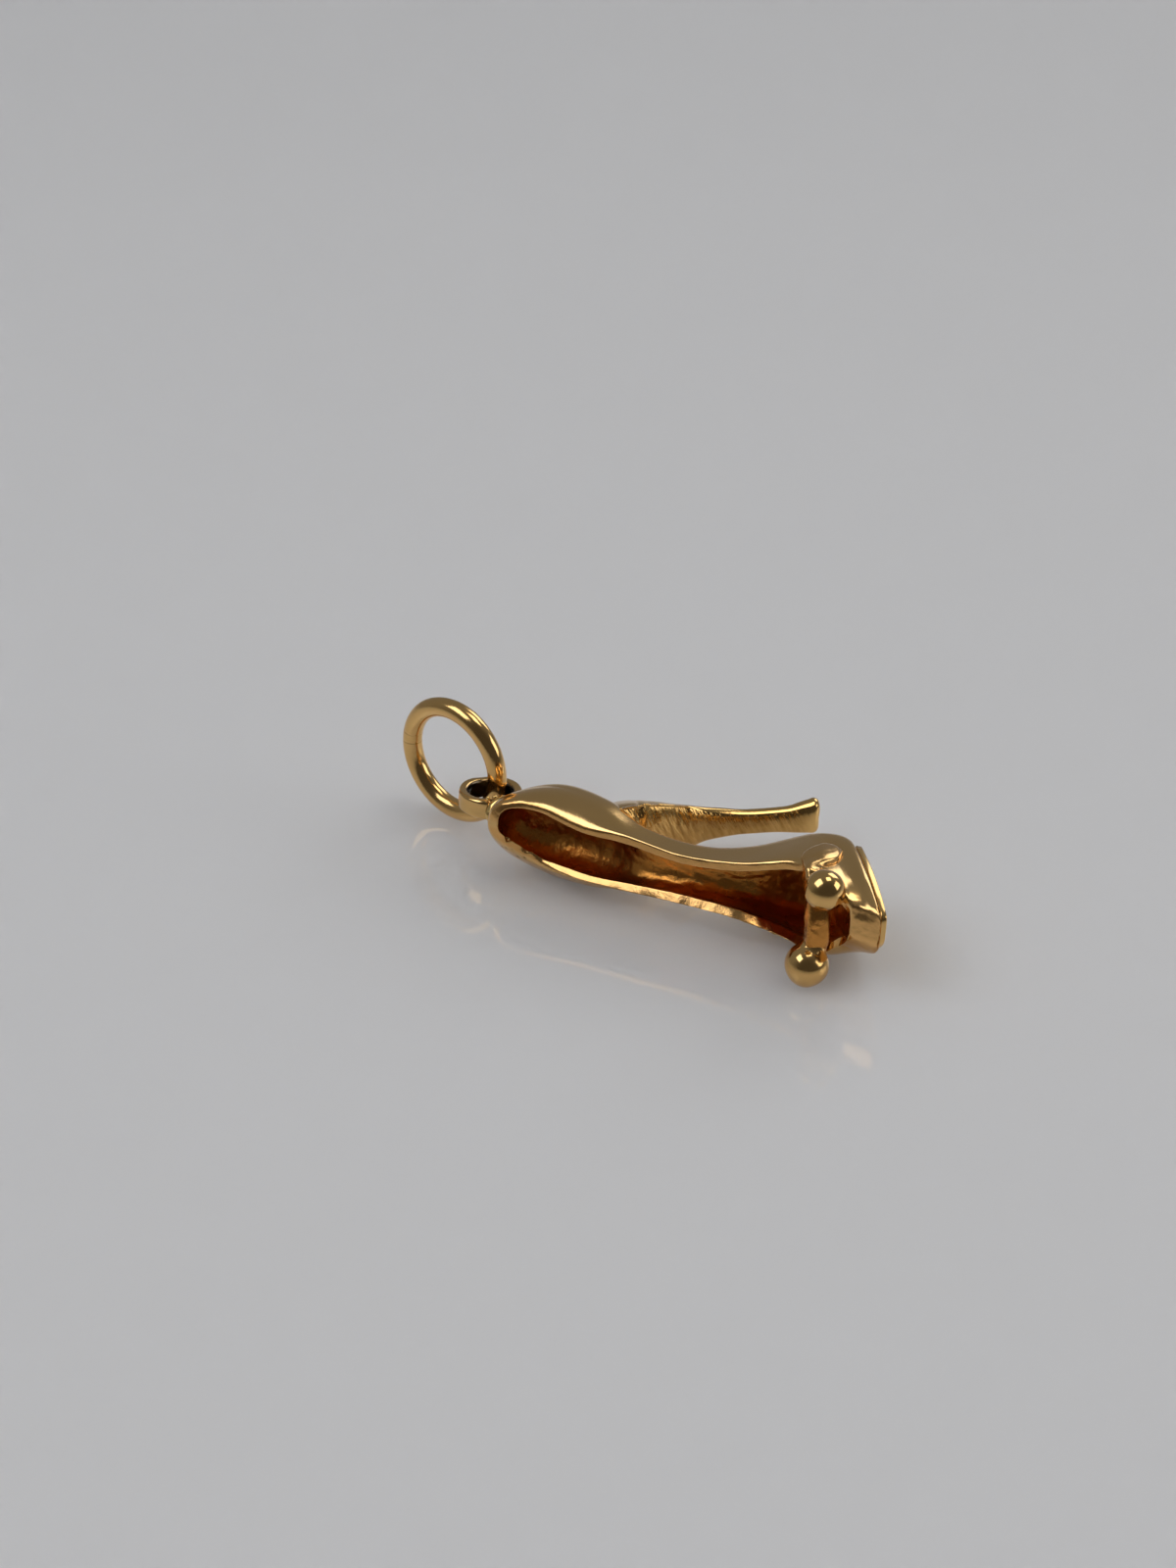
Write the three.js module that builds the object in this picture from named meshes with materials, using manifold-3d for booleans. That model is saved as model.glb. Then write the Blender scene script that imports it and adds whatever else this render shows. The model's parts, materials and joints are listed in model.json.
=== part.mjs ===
// High heel charm lying on its side, in millimetres.
// The shoe is built upright (+X towards the toe, +Y to the wearer's left, +Z up from the sole), then laid on
// its right side on the plane Z = 0. In the finished part +X still runs to the toe, +Y runs towards the sole
// and +Z is up from the table, with the origin under the middle of the whole charm.
import * as THREE from "three";
import { LoftGeometry } from "three/addons/geometries/LoftGeometry.js";
import { ConvexHull } from "three/addons/math/ConvexHull.js";
import { mergeVertices } from "three/addons/utils/BufferGeometryUtils.js";
import Module from "manifold-3d";

// Side profile of the shell from the counter to the toe: [forward, up] from the middle of the heel tip.
const TOPLINE = [
  [0, 14.85],
  [1.1, 12.85],
  [2.65, 11.05],
  [3.7, 9.45],
  [5.35, 7.3],
  [6.7, 5.1],
  [7.7, 3.3],
  [8.8, 2.6],
  [9.8, 2],
  [10.7, 1.35],
];
const KEEL = [
  [-1.9, 12.9],
  [-1.2, 10.8],
  [0.6, 9.1],
  [2.6, 8],
  [3.9, 6.1],
  [4.6, 3.9],
  [4.85, 1.5],
  [5.95, 0.2],
  [9.2, 0.15],
  [11.7, 0.2],
];
// Half widths at the same stations: [right rim, fullest part of the wall, left rim].
const HALF_WIDTHS = [
  [1.2, 2.05, 1.75],
  [1.35, 2.12, 1.6],
  [1.2, 1.92, 1.42],
  [1.2, 1.45, 1.42],
  [1.08, 1.22, 1.22],
  [1.2, 1.45, 1.45],
  [1.62, 2.06, 1.95],
  [1.75, 2.22, 2.1],
  [1.6, 1.9, 1.75],
  [1.05, 1.15, 1.05],
];
// The wall is stouter round the counter's end and down its right side.
const WALL = 0.42;
const COUNTER_WALL = 0.6;
const COUNTER_WALL_FADE = [0.02, 0.4];
const LEFT_WALL_THINNING = 0.9;
const LEFT_WALL_FADE = [0, 0.8];
// How far the counter's end swells between rim and keel: [forward, up].
const COUNTER_BULGE = [-0.4, 0.45];
// The end caps: the stretch of the shell's lines and the share of the columns that go round each end.
const HEEL_CAP = 0.15;
const HEEL_SHARE = 0.28;
const TOE_CAP = 0.06;
const TOE_SHARE = 0.78;
const TOE_SQUARENESS = 6;
const HEEL_SQUARENESS = 2.4;
const FOREFOOT_SQUARENESS = 6;
const SQUARENESS_FADE = [0.45, 0.75];
// How far the ends turn to the wearer's left: the counter at its rim and at its fullest part, then the toe.
const HEEL_TURN = [0.45, -0.1];
const HEEL_TURN_FADE = [0, 0.25];
const TOE_TURN = 0.22;
const TOE_TURN_FADE = [0.62, 0.95];
// The toe's right corner is set back.
const TOE_SKEW = 0.9;
const TOE_SKEW_FADE = [0.8, 1];
const TOE_RIM_SHARE = 0.35;
const LID_LEVEL = -0.6;

const SOLE_THICKNESS = 0.26;
const SOLE_START = 0.81;
const SOLE_SET_IN = 0.16;

// Heel sections: [up, back, breast, half width].
const HEEL_SECTIONS = [
  [0, -1.1, 0.05, 0.88],
  [0.5, -0.95, 0.12, 0.78],
  [1.5, -0.62, 0.26, 0.63],
  [3.4, -0.42, 0.36, 0.57],
  [5.2, -0.55, 0.5, 0.8],
  [6.6, -0.85, 0.9, 1.22],
  [8, -1.2, 1.6, 1.6],
  [9.2, -1.35, 2.1, 1.7],
  [10.3, -1, 2.3, 1.3],
];
const HEEL_SIDE = 0.1;
// The heel's section: the flat breast's share of the width, the squareness of its back and the place of its
// fullest part, each below and above the heights of HEEL_ROOT.
const BREAST_SHARE = [0.8, 0.96];
const BACK_SQUARENESS = [2, 1.5];
const HEEL_FULLEST = [0.55, 0.92];
const HEEL_ROOT = [4, 7];

// The band's middle and ends: [forward, up, width, thickness]; the ends lie on the walls at BAND_STATION.
const BAND_MIDDLE = [9.85, 2.45, 0.9, 1];
const BAND_LEFT_END = [7.5, 1.05, 1.6, 0.45];
const BAND_RIGHT_END = [8.7, 1.75, 1.3, 0.36];
const BAND_STATION = 0.8;
const BAND_SHOULDER = 0.72;
const BAND_LEFT_SPAN = 1.03;
const BAND_RIGHT_SPAN = 0.94;
const BAND_SHOULDER_SPAN = 0.97;
const BAND_SHOULDER_RISE = 0.2;
const BAND_END_TILT = 78;
const BAND_SQUARENESS = 4;

const KNOB_LEFT = { centre: [10.2, 1.85, 2.35], radius: 0.86, neck: 0.56 };
const KNOB_RIGHT = { centre: [9.95, -1.7, 2.8], radius: 0.93, neck: 0.66 };
const KNOB_FOOT_RADIUS = 0.18;
const KNOB_ROOT = 0.85;

const BAIL_OUTER_DIAMETER = 2.85;
const BAIL_HOLE_DIAMETER = 1.95;
const BAIL_HEIGHT = 0.9;
const BAIL_EDGE_RADIUS = 0.14;
const BAIL_LEVEL = 1.24;
const BAIL_SIDE = 0.3;
const BAIL_SLOPE_STEP = 0.1;
const SOLDER_SIZE = [0.42, 0.72, 1];
const SOLDER_LIFT = 0.06;

const RING_OUTER_DIAMETER = 6;
const RING_WIRE_DIAMETER = 0.88;
const RING_YAW = 41;
const RING_OFFSET = 0.3;

const GAP = 0.04;
const WELD = 1e-4;
const SLAB_REACH = 30;
const SLAB_HALF_WIDTH = 10;
const SLAB_DEPTH = 5;

const COLUMNS = 60;
const WALL_LEVELS = 5;
const BREAST_STEPS = 3;
const SIDE_STEPS = 4;
const BACK_STEPS = 8;
const BAND_ROWS = 20;
const BAND_FACETS = 16;
const KNOB_ROWS = 10;
const KNOB_FACETS = 24;
const BAIL_FACETS = 36;
const BAIL_EDGE_STEPS = 3;
const SOLDER_FACETS = 20;
const SOLDER_ROWS = 14;
const RING_FACETS = 56;
const WIRE_FACETS = 14;

const CAST_GOLD = 0xc9a04a;
const SOLE_GOLD = 0xd6b15c;
const HEEL_GOLD = 0xc0953f;
const BAND_GOLD = 0xb88d3c;
const KNOB_GOLD = 0xd2ab55;
const BAIL_GOLD = 0xbf9644;
const SOLDER_GOLD = 0xcfa95a;
const RING_GOLD = 0xcfa850;
const GOLD_ROUGHNESS = 0.25;

const { clamp, degToRad, lerp, smoothstep } = THREE.MathUtils;

const wasm = await Module();
wasm.setup();

const topline = new THREE.SplineCurve(TOPLINE.map((p) => new THREE.Vector2(...p)));
const keel = new THREE.SplineCurve(KEEL.map((p) => new THREE.Vector2(...p)));
const rims = new THREE.SplineCurve(HALF_WIDTHS.map(([right, , left]) => new THREE.Vector2(right, left)));
const fulls = new THREE.SplineCurve(HALF_WIDTHS.map(([, full]) => new THREE.Vector2(full, 0)));

/** A geometry as a closed solid for booleans. */
function toSolid(geometry) {
  const bare = new THREE.BufferGeometry();
  bare.setAttribute("position", geometry.getAttribute("position"));
  bare.setIndex(geometry.getIndex());
  const welded = mergeVertices(bare, WELD);
  const corners = welded.index.array;
  const triVerts = [];
  for (let i = 0; i < corners.length; i += 3) {
    const [a, b, c] = corners.slice(i, i + 3);
    if (a !== b && b !== c && c !== a) triVerts.push(a, b, c);
  }
  const vertProperties = welded.attributes.position.array;
  const mesh = new wasm.Mesh({ numProp: 3, vertProperties, triVerts: new Uint32Array(triVerts) });
  return new wasm.Manifold(mesh);
}

/** A solid as a named mesh with its own gold. */
function toMesh(name, solid, color) {
  const made = solid.getMesh();
  const geometry = new THREE.BufferGeometry();
  geometry.setAttribute("position", new THREE.BufferAttribute(made.vertProperties, 3));
  geometry.setIndex(new THREE.BufferAttribute(made.triVerts, 1));
  geometry.computeVertexNormals();
  const gold = new THREE.MeshStandardMaterial({ color, metalness: 1, roughness: GOLD_ROUGHNESS });
  const mesh = new THREE.Mesh(geometry, gold);
  mesh.name = name;
  return mesh;
}

/** Where a column of the shell stands: t along the shoe, side share of the width, share into each end cap. */
function columnAt(column) {
  const half = COLUMNS / 2;
  const left = column <= half;
  const u = (left ? column : COLUMNS - column) / half;
  const along = (u - HEEL_SHARE) / (TOE_SHARE - HEEL_SHARE);
  let t = HEEL_CAP + along * (1 - HEEL_CAP - TOE_CAP);
  let side = 1;
  let back = 0;
  let front = 0;
  if (u < HEEL_SHARE) {
    const angle = ((u / HEEL_SHARE) * Math.PI) / 2;
    t = HEEL_CAP * (1 - Math.cos(angle));
    side = Math.sin(angle);
    back = Math.cos(angle);
  }
  if (u > TOE_SHARE) {
    const angle = (((1 - u) / (1 - TOE_SHARE)) * Math.PI) / 2;
    front = Math.cos(angle) ** (2 / TOE_SQUARENESS);
    t = 1 - TOE_CAP * (1 - front);
    side = Math.sin(angle) ** (2 / TOE_SQUARENESS);
  }
  return { t, side: left ? side : -side, back, front };
}

/** How the turned ends and the toe's set-back right corner move a point at a level: [forward, sideways]. */
function endShift(t, side, level) {
  const right = Math.max(0, -side);
  const skew = TOE_SKEW * smoothstep(t, ...TOE_SKEW_FADE) * right * right;
  const heelTurn = lerp(...HEEL_TURN, clamp(level, 0, 1)) * (1 - smoothstep(t, ...HEEL_TURN_FADE));
  return [-skew, TOE_TURN * smoothstep(t, ...TOE_TURN_FADE) + heelTurn];
}

/** The wall's thickness at a place along the shoe and across it. */
function wallAt(t, side) {
  const end = 1 - smoothstep(t, ...COUNTER_WALL_FADE);
  const stout = end * (1 - LEFT_WALL_THINNING * smoothstep(side, ...LEFT_WALL_FADE));
  return lerp(WALL, COUNTER_WALL, stout);
}

const outerSkin = () => 0;
const grownSkin = () => -GAP;
const innerSkin = wallAt;

/**
 * A point of one of the shell's skins; level 0 is the rim, 1 the fullest part and 2 the keel.
 * A flat point is folded onto the line down the middle.
 */
function shellPoint(column, level, skin, flat = false) {
  const { t, side, back, front } = columnAt(column);
  const inset = skin(t, flat ? 0 : side * (1 - smoothstep(level, 1, 2)));
  const top = topline.getPoint(t);
  const bottom = keel.getPoint(t);
  const length = top.distanceTo(bottom);
  const [right, left] = rims.getPoint(t).toArray();
  const rim = (side > 0 ? left : right) - inset;
  const full = fulls.getPoint(t).x - inset;
  let depth = level / 2;
  let half = rim + (full - rim) * (1 - (1 - level) ** 2);
  if (level > 1) {
    const angle = ((level - 1) * Math.PI) / 2;
    const square = lerp(HEEL_SQUARENESS, FOREFOOT_SQUARENESS, smoothstep(t, ...SQUARENESS_FADE));
    depth = 0.5 + 0.5 * Math.sin(angle) ** (2 / square);
    half = full * Math.cos(angle) ** (2 / square);
  }
  if (level < 0) half = rim;
  const share = depth * (1 - inset / length);
  const place = top.clone().lerp(bottom, share);
  const swell = Math.sin(Math.PI * clamp(share, 0, 1)) * back;
  place.addScaledVector(new THREE.Vector2(...COUNTER_BULGE), swell);
  const forward = new THREE.Vector2(top.y - bottom.y, bottom.x - top.x).normalize();
  const toeWall = lerp(TOE_RIM_SHARE, 1, clamp(level, 0, 1));
  place.addScaledVector(forward, inset * (back - front * toeWall));
  const across = flat || level >= 2 ? 0 : half * side;
  const [shift, turn] = endShift(t, across / full, level);
  return new THREE.Vector3(place.x + shift, across + turn, place.y);
}

/** One closed ring of a skin at a level; flat folds it onto the line down the middle. */
function shellRing(level, skin, flat = false) {
  const ring = [];
  for (let column = 0; column < COLUMNS; column += 1) {
    ring.push(shellPoint(column, level, skin, flat));
  }
  return ring;
}

/** The lump inside a skin, its opening closed by a lid at the level given. */
function shellLump(skin, lid) {
  const rings = [shellRing(lid, skin, true)];
  if (lid < 0) rings.push(shellRing(lid, skin));
  for (let i = 0; i <= 2 * WALL_LEVELS; i += 1) rings.push(shellRing(i / WALL_LEVELS, skin));
  return toSolid(new LoftGeometry(rings));
}

/** A slab that takes away everything below a height. */
function slabBelow(height) {
  const depth = height + SLAB_DEPTH;
  const geometry = new THREE.BoxGeometry(2 * SLAB_REACH, 2 * SLAB_HALF_WIDTH, depth);
  geometry.translate(0, 0, height - depth / 2);
  return toSolid(geometry);
}

const shellGrown = shellLump(grownSkin, 0);
const soleTop = SOLE_THICKNESS + GAP;
const cavity = shellLump(innerSkin, LID_LEVEL).subtract(slabBelow(soleTop + WALL));
const upper = shellLump(outerSkin, 0).subtract(cavity).subtract(slabBelow(soleTop));

/** The sole's outline follows the fullest part of the shell, set in a little, from SOLE_START to the toe. */
function soleSolid() {
  const edge = [];
  for (let column = 0; column <= COLUMNS / 2; column += 1) {
    const place = columnAt(column);
    if (place.t >= SOLE_START) edge.push(place);
  }
  const mirrored = edge.map((place) => ({ ...place, side: -place.side }));
  const outline = [...mirrored, ...edge.reverse().slice(1)].map(({ t, side, front }) => {
    const [shift, turn] = endShift(t, side, 2);
    const forward = keel.getPoint(t).x - SOLE_SET_IN * front;
    const half = fulls.getPoint(t).x - SOLE_SET_IN;
    return new THREE.Vector2(forward + shift, half * side + turn);
  });
  const shape = new THREE.Shape(outline);
  return toSolid(new THREE.ExtrudeGeometry(shape, { depth: SOLE_THICKNESS, bevelEnabled: false }));
}

/** A D-shaped ring of the heel: a flat breast, sides that swell behind it and a round back. */
function heelRing([up, back, breast, half]) {
  const risen = smoothstep(up, ...HEEL_ROOT);
  const middle = lerp(back, breast, lerp(...HEEL_FULLEST, risen));
  const power = 2 / lerp(...BACK_SQUARENESS, risen);
  const flat = half * lerp(...BREAST_SHARE, risen);
  const left = [];
  for (let i = 0; i < BREAST_STEPS; i += 1) left.push([breast, (flat * i) / BREAST_STEPS]);
  for (let i = 0; i < SIDE_STEPS; i += 1) {
    const ahead = 1 - i / SIDE_STEPS;
    left.push([lerp(middle, breast, ahead), lerp(half, flat, ahead * ahead)]);
  }
  for (let i = 0; i < BACK_STEPS; i += 1) {
    const angle = ((i / BACK_STEPS) * Math.PI) / 2;
    left.push([lerp(middle, back, Math.sin(angle) ** power), half * Math.cos(angle) ** power]);
  }
  const right = left.slice(1).map(([x, y]) => [x, -y]);
  const outline = [...left, [back, 0], ...right.reverse()];
  return outline.map(([x, y]) => new THREE.Vector3(x, HEEL_SIDE + y, up));
}

/** The band's centre, tilt and sizes at s: -1 at the right end, 0 in the middle, 1 at the left end. */
function bandAt(s) {
  const [end, ease] = s > 0 ? [BAND_LEFT_END, BAND_LEFT_SPAN] : [BAND_RIGHT_END, BAND_RIGHT_SPAN];
  const share = 1 - s * s;
  const drop = Math.max(0, (Math.abs(s) - BAND_SHOULDER) / (1 - BAND_SHOULDER));
  const span = fulls.getPoint(BAND_STATION).x * ease;
  const y = span * Math.sign(s) * Math.min(1, (Math.abs(s) * BAND_SHOULDER_SPAN) / BAND_SHOULDER);
  const [forward, , width, thickness] = end.map((size, i) => lerp(size, BAND_MIDDLE[i], share));
  const up = lerp(BAND_MIDDLE[1] + BAND_SHOULDER_RISE * (1 - share), end[1], drop * drop);
  const tilt = Math.sign(s) * drop * degToRad(BAND_END_TILT);
  return { centre: new THREE.Vector3(forward, y, up), tilt, width, thickness };
}

/** The band arches from wall to wall over the rims; grow widens it all round for a clearance cut. */
function bandSolid(grow) {
  const power = 2 / BAND_SQUARENESS;
  const sections = [];
  for (let i = 0; i <= BAND_ROWS; i += 1) {
    const { centre, tilt, width, thickness } = bandAt((2 * i) / BAND_ROWS - 1);
    const ring = [];
    for (let k = 0; k < BAND_FACETS; k += 1) {
      const angle = -(k / BAND_FACETS) * 2 * Math.PI;
      const c = Math.cos(angle);
      const q = Math.sin(angle);
      const along = (width / 2 + grow) * Math.sign(c) * Math.abs(c) ** power;
      const lift = (thickness / 2 + grow) * Math.sign(q) * Math.abs(q) ** power;
      ring.push(new THREE.Vector3(along, lift * Math.sin(tilt), lift * Math.cos(tilt)).add(centre));
    }
    sections.push(ring);
  }
  return toSolid(new LoftGeometry(sections, { capStart: true, capEnd: true }));
}

/** A ball with a short tapered neck, turned about the line from the band to the ball. */
function knobSolid(knob) {
  const centre = new THREE.Vector3(...knob.centre);
  const root = (Math.sign(centre.y) * KNOB_ROOT * BAND_SHOULDER) / fulls.getPoint(BAND_STATION).x;
  const foot = bandAt(root).centre;
  const reach = centre.distanceTo(foot);
  const join = Math.asin(knob.neck / knob.radius);
  const profile = [new THREE.Vector2(0, 0), new THREE.Vector2(KNOB_FOOT_RADIUS, 0)];
  for (let i = 0; i <= KNOB_ROWS; i += 1) {
    const angle = lerp(join, Math.PI, i / KNOB_ROWS);
    profile.push(new THREE.Vector2(knob.radius * Math.sin(angle), reach - knob.radius * Math.cos(angle)));
  }
  profile.at(-1).x = 0;
  const geometry = new THREE.LatheGeometry(profile, KNOB_FACETS);
  const axis = new THREE.Vector3(0, 1, 0);
  const aim = centre.clone().sub(foot).normalize();
  geometry.applyQuaternion(new THREE.Quaternion().setFromUnitVectors(axis, aim));
  geometry.translate(...foot);
  return toSolid(geometry);
}

/** The bail's ring of rounded rectangular section about the Y axis; grow thickens it for a clearance cut. */
function bailSolid(grow) {
  const inner = BAIL_HOLE_DIAMETER / 2 - grow;
  const outer = BAIL_OUTER_DIAMETER / 2 + grow;
  const half = BAIL_HEIGHT / 2 + grow;
  const r = BAIL_EDGE_RADIUS;
  const shape = new THREE.Shape();
  shape.moveTo(outer, -half + r);
  shape.absarc(outer - r, half - r, r, 0, Math.PI / 2);
  shape.absarc(inner + r, half - r, r, Math.PI / 2, Math.PI);
  shape.absarc(inner + r, -half + r, r, Math.PI, 1.5 * Math.PI);
  shape.absarc(outer - r, -half + r, r, 1.5 * Math.PI, 2 * Math.PI);
  const profile = shape.getPoints(BAIL_EDGE_STEPS);
  profile.push(profile[0].clone());
  return toSolid(new THREE.LatheGeometry(profile, BAIL_FACETS));
}

const seat = shellPoint(0, BAIL_LEVEL, outerSkin);
seat.y += BAIL_SIDE;
const seatAbove = shellPoint(0, BAIL_LEVEL - BAIL_SLOPE_STEP, outerSkin);
const seatBelow = shellPoint(0, BAIL_LEVEL + BAIL_SLOPE_STEP, outerSkin);
const seatLine = seatAbove.sub(seatBelow).setY(0).normalize();
const seatOut = new THREE.Vector3(-seatLine.z, 0, seatLine.x);
const bailCentre = seat.clone().addScaledVector(seatOut, BAIL_OUTER_DIAMETER / 2 + GAP);

const solderBall = new THREE.SphereGeometry(1, SOLDER_FACETS, SOLDER_ROWS);
solderBall.scale(...SOLDER_SIZE);
solderBall.applyQuaternion(new THREE.Quaternion().setFromUnitVectors(new THREE.Vector3(-1, 0, 0), seatOut));
solderBall.translate(...seat.clone().addScaledVector(seatOut, SOLDER_LIFT));

const heel = toSolid(new LoftGeometry(HEEL_SECTIONS.map(heelRing), { capStart: true, capEnd: true }));
const bandGrown = bandSolid(GAP);
const bail = bailSolid(0).translate(bailCentre.toArray());
const bailGrown = bailSolid(GAP).translate(bailCentre.toArray());
const leftKnob = knobSolid(KNOB_LEFT).subtract(shellGrown).subtract(bandGrown);
const rightKnob = knobSolid(KNOB_RIGHT).subtract(shellGrown).subtract(bandGrown);
const solder = toSolid(solderBall).subtract(shellGrown).subtract(bailGrown);

const shoe = new THREE.Group();
shoe.add(toMesh("shoe_upper", upper, CAST_GOLD));
shoe.add(toMesh("sole_plate", soleSolid(), SOLE_GOLD));
shoe.add(toMesh("stiletto_heel", heel.subtract(shellGrown), HEEL_GOLD));
shoe.add(toMesh("vamp_band", bandSolid(0).subtract(shellGrown), BAND_GOLD));
shoe.add(toMesh("bow_knob_left", leftKnob, KNOB_GOLD));
shoe.add(toMesh("bow_knob_right", rightKnob, KNOB_GOLD));
shoe.add(toMesh("bail_loop", bail, BAIL_GOLD));
shoe.add(toMesh("bail_solder", solder, SOLDER_GOLD));

/** Sum of the signed volumes of a group's meshes and their common centre of mass. */
function balance(group) {
  const centre = new THREE.Vector3();
  let volume = 0;
  group.updateMatrixWorld(true);
  group.traverse((mesh) => {
    if (!mesh.isMesh) return;
    const position = mesh.geometry.getAttribute("position");
    const index = mesh.geometry.getIndex();
    for (let i = 0; i < index.count; i += 3) {
      const [a, b, c] = [0, 1, 2].map((k) =>
        new THREE.Vector3().fromBufferAttribute(position, index.getX(i + k)).applyMatrix4(mesh.matrixWorld),
      );
      const share = a.dot(b.clone().cross(c)) / 6;
      volume += share;
      centre.addScaledVector(a.add(b).add(c), share / 4);
    }
  });
  return centre.divideScalar(volume);
}

/** Lays a group on the flat support under its centre of mass, turning it as little as possible. */
function settle(group) {
  const centre = balance(group);
  const down = new THREE.Vector3(0, 0, -1);
  const faces = new ConvexHull().setFromObject(group).faces;
  const resting = faces.filter((face) => {
    const corners = [0, 1, 2].map((k) => face.getEdge(k).head().point);
    const foot = centre.clone().addScaledVector(face.normal, -face.distanceToPoint(centre));
    return new THREE.Triangle(...corners).containsPoint(foot);
  });
  resting.sort((a, b) => b.normal.dot(down) - a.normal.dot(down));
  group.applyQuaternion(new THREE.Quaternion().setFromUnitVectors(resting[0].normal, down));
  group.updateMatrixWorld(true);
  group.position.z -= new THREE.Box3().setFromObject(group, true).min.z;
}

shoe.rotation.x = Math.PI / 2;
settle(shoe);
shoe.updateMatrixWorld(true);

const eye = bailCentre.clone().applyMatrix4(shoe.matrixWorld);
const wire = RING_WIRE_DIAMETER / 2;
const ringRadius = RING_OUTER_DIAMETER / 2 - wire;
const ringHeight = RING_OUTER_DIAMETER / 2 + GAP;
const reach = Math.sqrt(ringRadius ** 2 - (ringHeight - eye.z) ** 2);
const yaw = degToRad(RING_YAW);
const torus = new THREE.TorusGeometry(ringRadius, wire, WIRE_FACETS, RING_FACETS);
const ring = toMesh("jump_ring", toSolid(torus), RING_GOLD);
ring.rotation.set(Math.PI / 2, 0, yaw, "ZYX");
ring.position.set(eye.x, eye.y, ringHeight);
ring.position.x -= reach * Math.cos(yaw) + RING_OFFSET * Math.sin(yaw);
ring.position.y -= reach * Math.sin(yaw) - RING_OFFSET * Math.cos(yaw);

const charm = new THREE.Group();
charm.name = "high_heel_charm";
charm.add(shoe, ring);
const bounds = new THREE.Box3().setFromObject(charm, true);
const middle = bounds.getCenter(new THREE.Vector3());
shoe.position.add(new THREE.Vector3(-middle.x, -middle.y, 0));
ring.position.add(new THREE.Vector3(-middle.x, -middle.y, 0));

export default charm;
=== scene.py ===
"""Looks of the high heel charm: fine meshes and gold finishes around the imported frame.

The shoe's pieces are worked out upright, in millimetres (forward to the toe, across to the wearer's
left, up from the sole), and are then laid on the table through the two flat faces that the record
names.
"""

import json
import logging
import math
from collections.abc import Iterator
from contextlib import contextmanager
from dataclasses import dataclass
from enum import Enum
from typing import Any

import bmesh
import bpy
import numpy as np
from mathutils import Matrix, Vector, noise
from mathutils.bvhtree import BVHTree


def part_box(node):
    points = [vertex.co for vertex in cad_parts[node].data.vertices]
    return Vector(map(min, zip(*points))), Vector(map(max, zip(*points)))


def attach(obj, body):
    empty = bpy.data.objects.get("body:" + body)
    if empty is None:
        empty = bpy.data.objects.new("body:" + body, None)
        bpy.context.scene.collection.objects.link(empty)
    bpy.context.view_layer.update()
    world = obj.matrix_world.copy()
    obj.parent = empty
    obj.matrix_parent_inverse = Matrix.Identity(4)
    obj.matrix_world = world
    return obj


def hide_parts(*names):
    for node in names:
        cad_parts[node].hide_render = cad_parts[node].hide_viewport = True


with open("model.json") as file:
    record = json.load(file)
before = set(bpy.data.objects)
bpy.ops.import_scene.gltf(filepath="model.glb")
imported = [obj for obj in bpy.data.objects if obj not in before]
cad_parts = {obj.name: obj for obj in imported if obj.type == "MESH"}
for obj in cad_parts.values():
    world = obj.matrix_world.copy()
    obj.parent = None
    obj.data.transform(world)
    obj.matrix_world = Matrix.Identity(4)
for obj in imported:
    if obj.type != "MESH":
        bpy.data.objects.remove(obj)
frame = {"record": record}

LOG = logging.getLogger("high_heel_charm")
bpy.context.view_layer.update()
MM = 0.001
QUARTER = math.pi / 2
MERGE_MM = 1e-4
SEED_WAY = (1.0, 1.7, 0.6)
MIX_A, MIX_B, MIX_RESULT = 6, 7, 2  # a Mix node's colour sockets, which its other types name alike

Number = np.ndarray | float
Pair = tuple[float, float]
Triple = tuple[float, float, float]
Table = tuple[tuple[float, ...], ...]


class Body(Enum):
    """The bodies that pieces ride on."""

    SHOE = "shoe"
    RING = "ring"


class Slot(Enum):
    """The record's material slots."""

    CAST = "cast_gold"
    FILED = "filed_gold"
    POLISHED = "polished_gold"
    SOLDER = "solder_gold"


class Side(Enum):
    """The wearer's two sides of the shoe."""

    LEFT = 1
    RIGHT = -1


def linear(colour: str) -> tuple[float, float, float, float]:
    """Turns an sRGB colour into linear light.

    Args:
        colour: The colour as #rrggbb.

    Returns:
        Red, green, blue and an alpha of 1.
    """
    channels = [int(colour[i : i + 2], 16) / 255 for i in (1, 3, 5)]
    red, green, blue = (
        c / 12.92 if c <= 0.04045 else ((c + 0.055) / 1.055) ** 2.4 for c in channels
    )
    return red, green, blue, 1.0


def add_node(
    tree: bpy.types.NodeTree,
    kind: str,
    inputs: dict[str | int, Any] | None = None,
    **settings: Any,
) -> bpy.types.Node:
    """Adds a node to a shader or geometry tree.

    Args:
        tree: The tree that gets the node.
        kind: The node's type name.
        inputs: For an input's name or place, the socket to link to it or the value to set on it.
        settings: Properties of the node.

    Returns:
        The new node.
    """
    node = tree.nodes.new(kind)
    for name, value in settings.items():
        setattr(node, name, value)
    for socket, value in (inputs or {}).items():
        if isinstance(value, bpy.types.NodeSocket):
            tree.links.new(value, node.inputs[socket])
        else:
            node.inputs[socket].default_value = value
    return node


def add_object(name: str, data: bpy.types.ID) -> bpy.types.Object:
    """Puts a mesh, a lamp or a camera into the scene.

    Args:
        name: The object's name.
        data: What it shows.

    Returns:
        The new object.
    """
    made = bpy.data.objects.new(name, data)
    bpy.context.scene.collection.objects.link(made)
    return made


def mount(name: str) -> dict[str, Any]:
    """The record's mount of that name."""
    return next(row for row in frame["record"]["mounts"] if row["name"] == name)


def per_metre(size_mm: float) -> float:
    """The texture scale for features of a size in millimetres on coordinates in metres."""
    return 1 / (size_mm * MM)


def between(ends: tuple[Number, Number], share: Number) -> Number:
    """What lies a share of the way from the first end to the second."""
    return ends[0] + (ends[1] - ends[0]) * share


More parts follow.
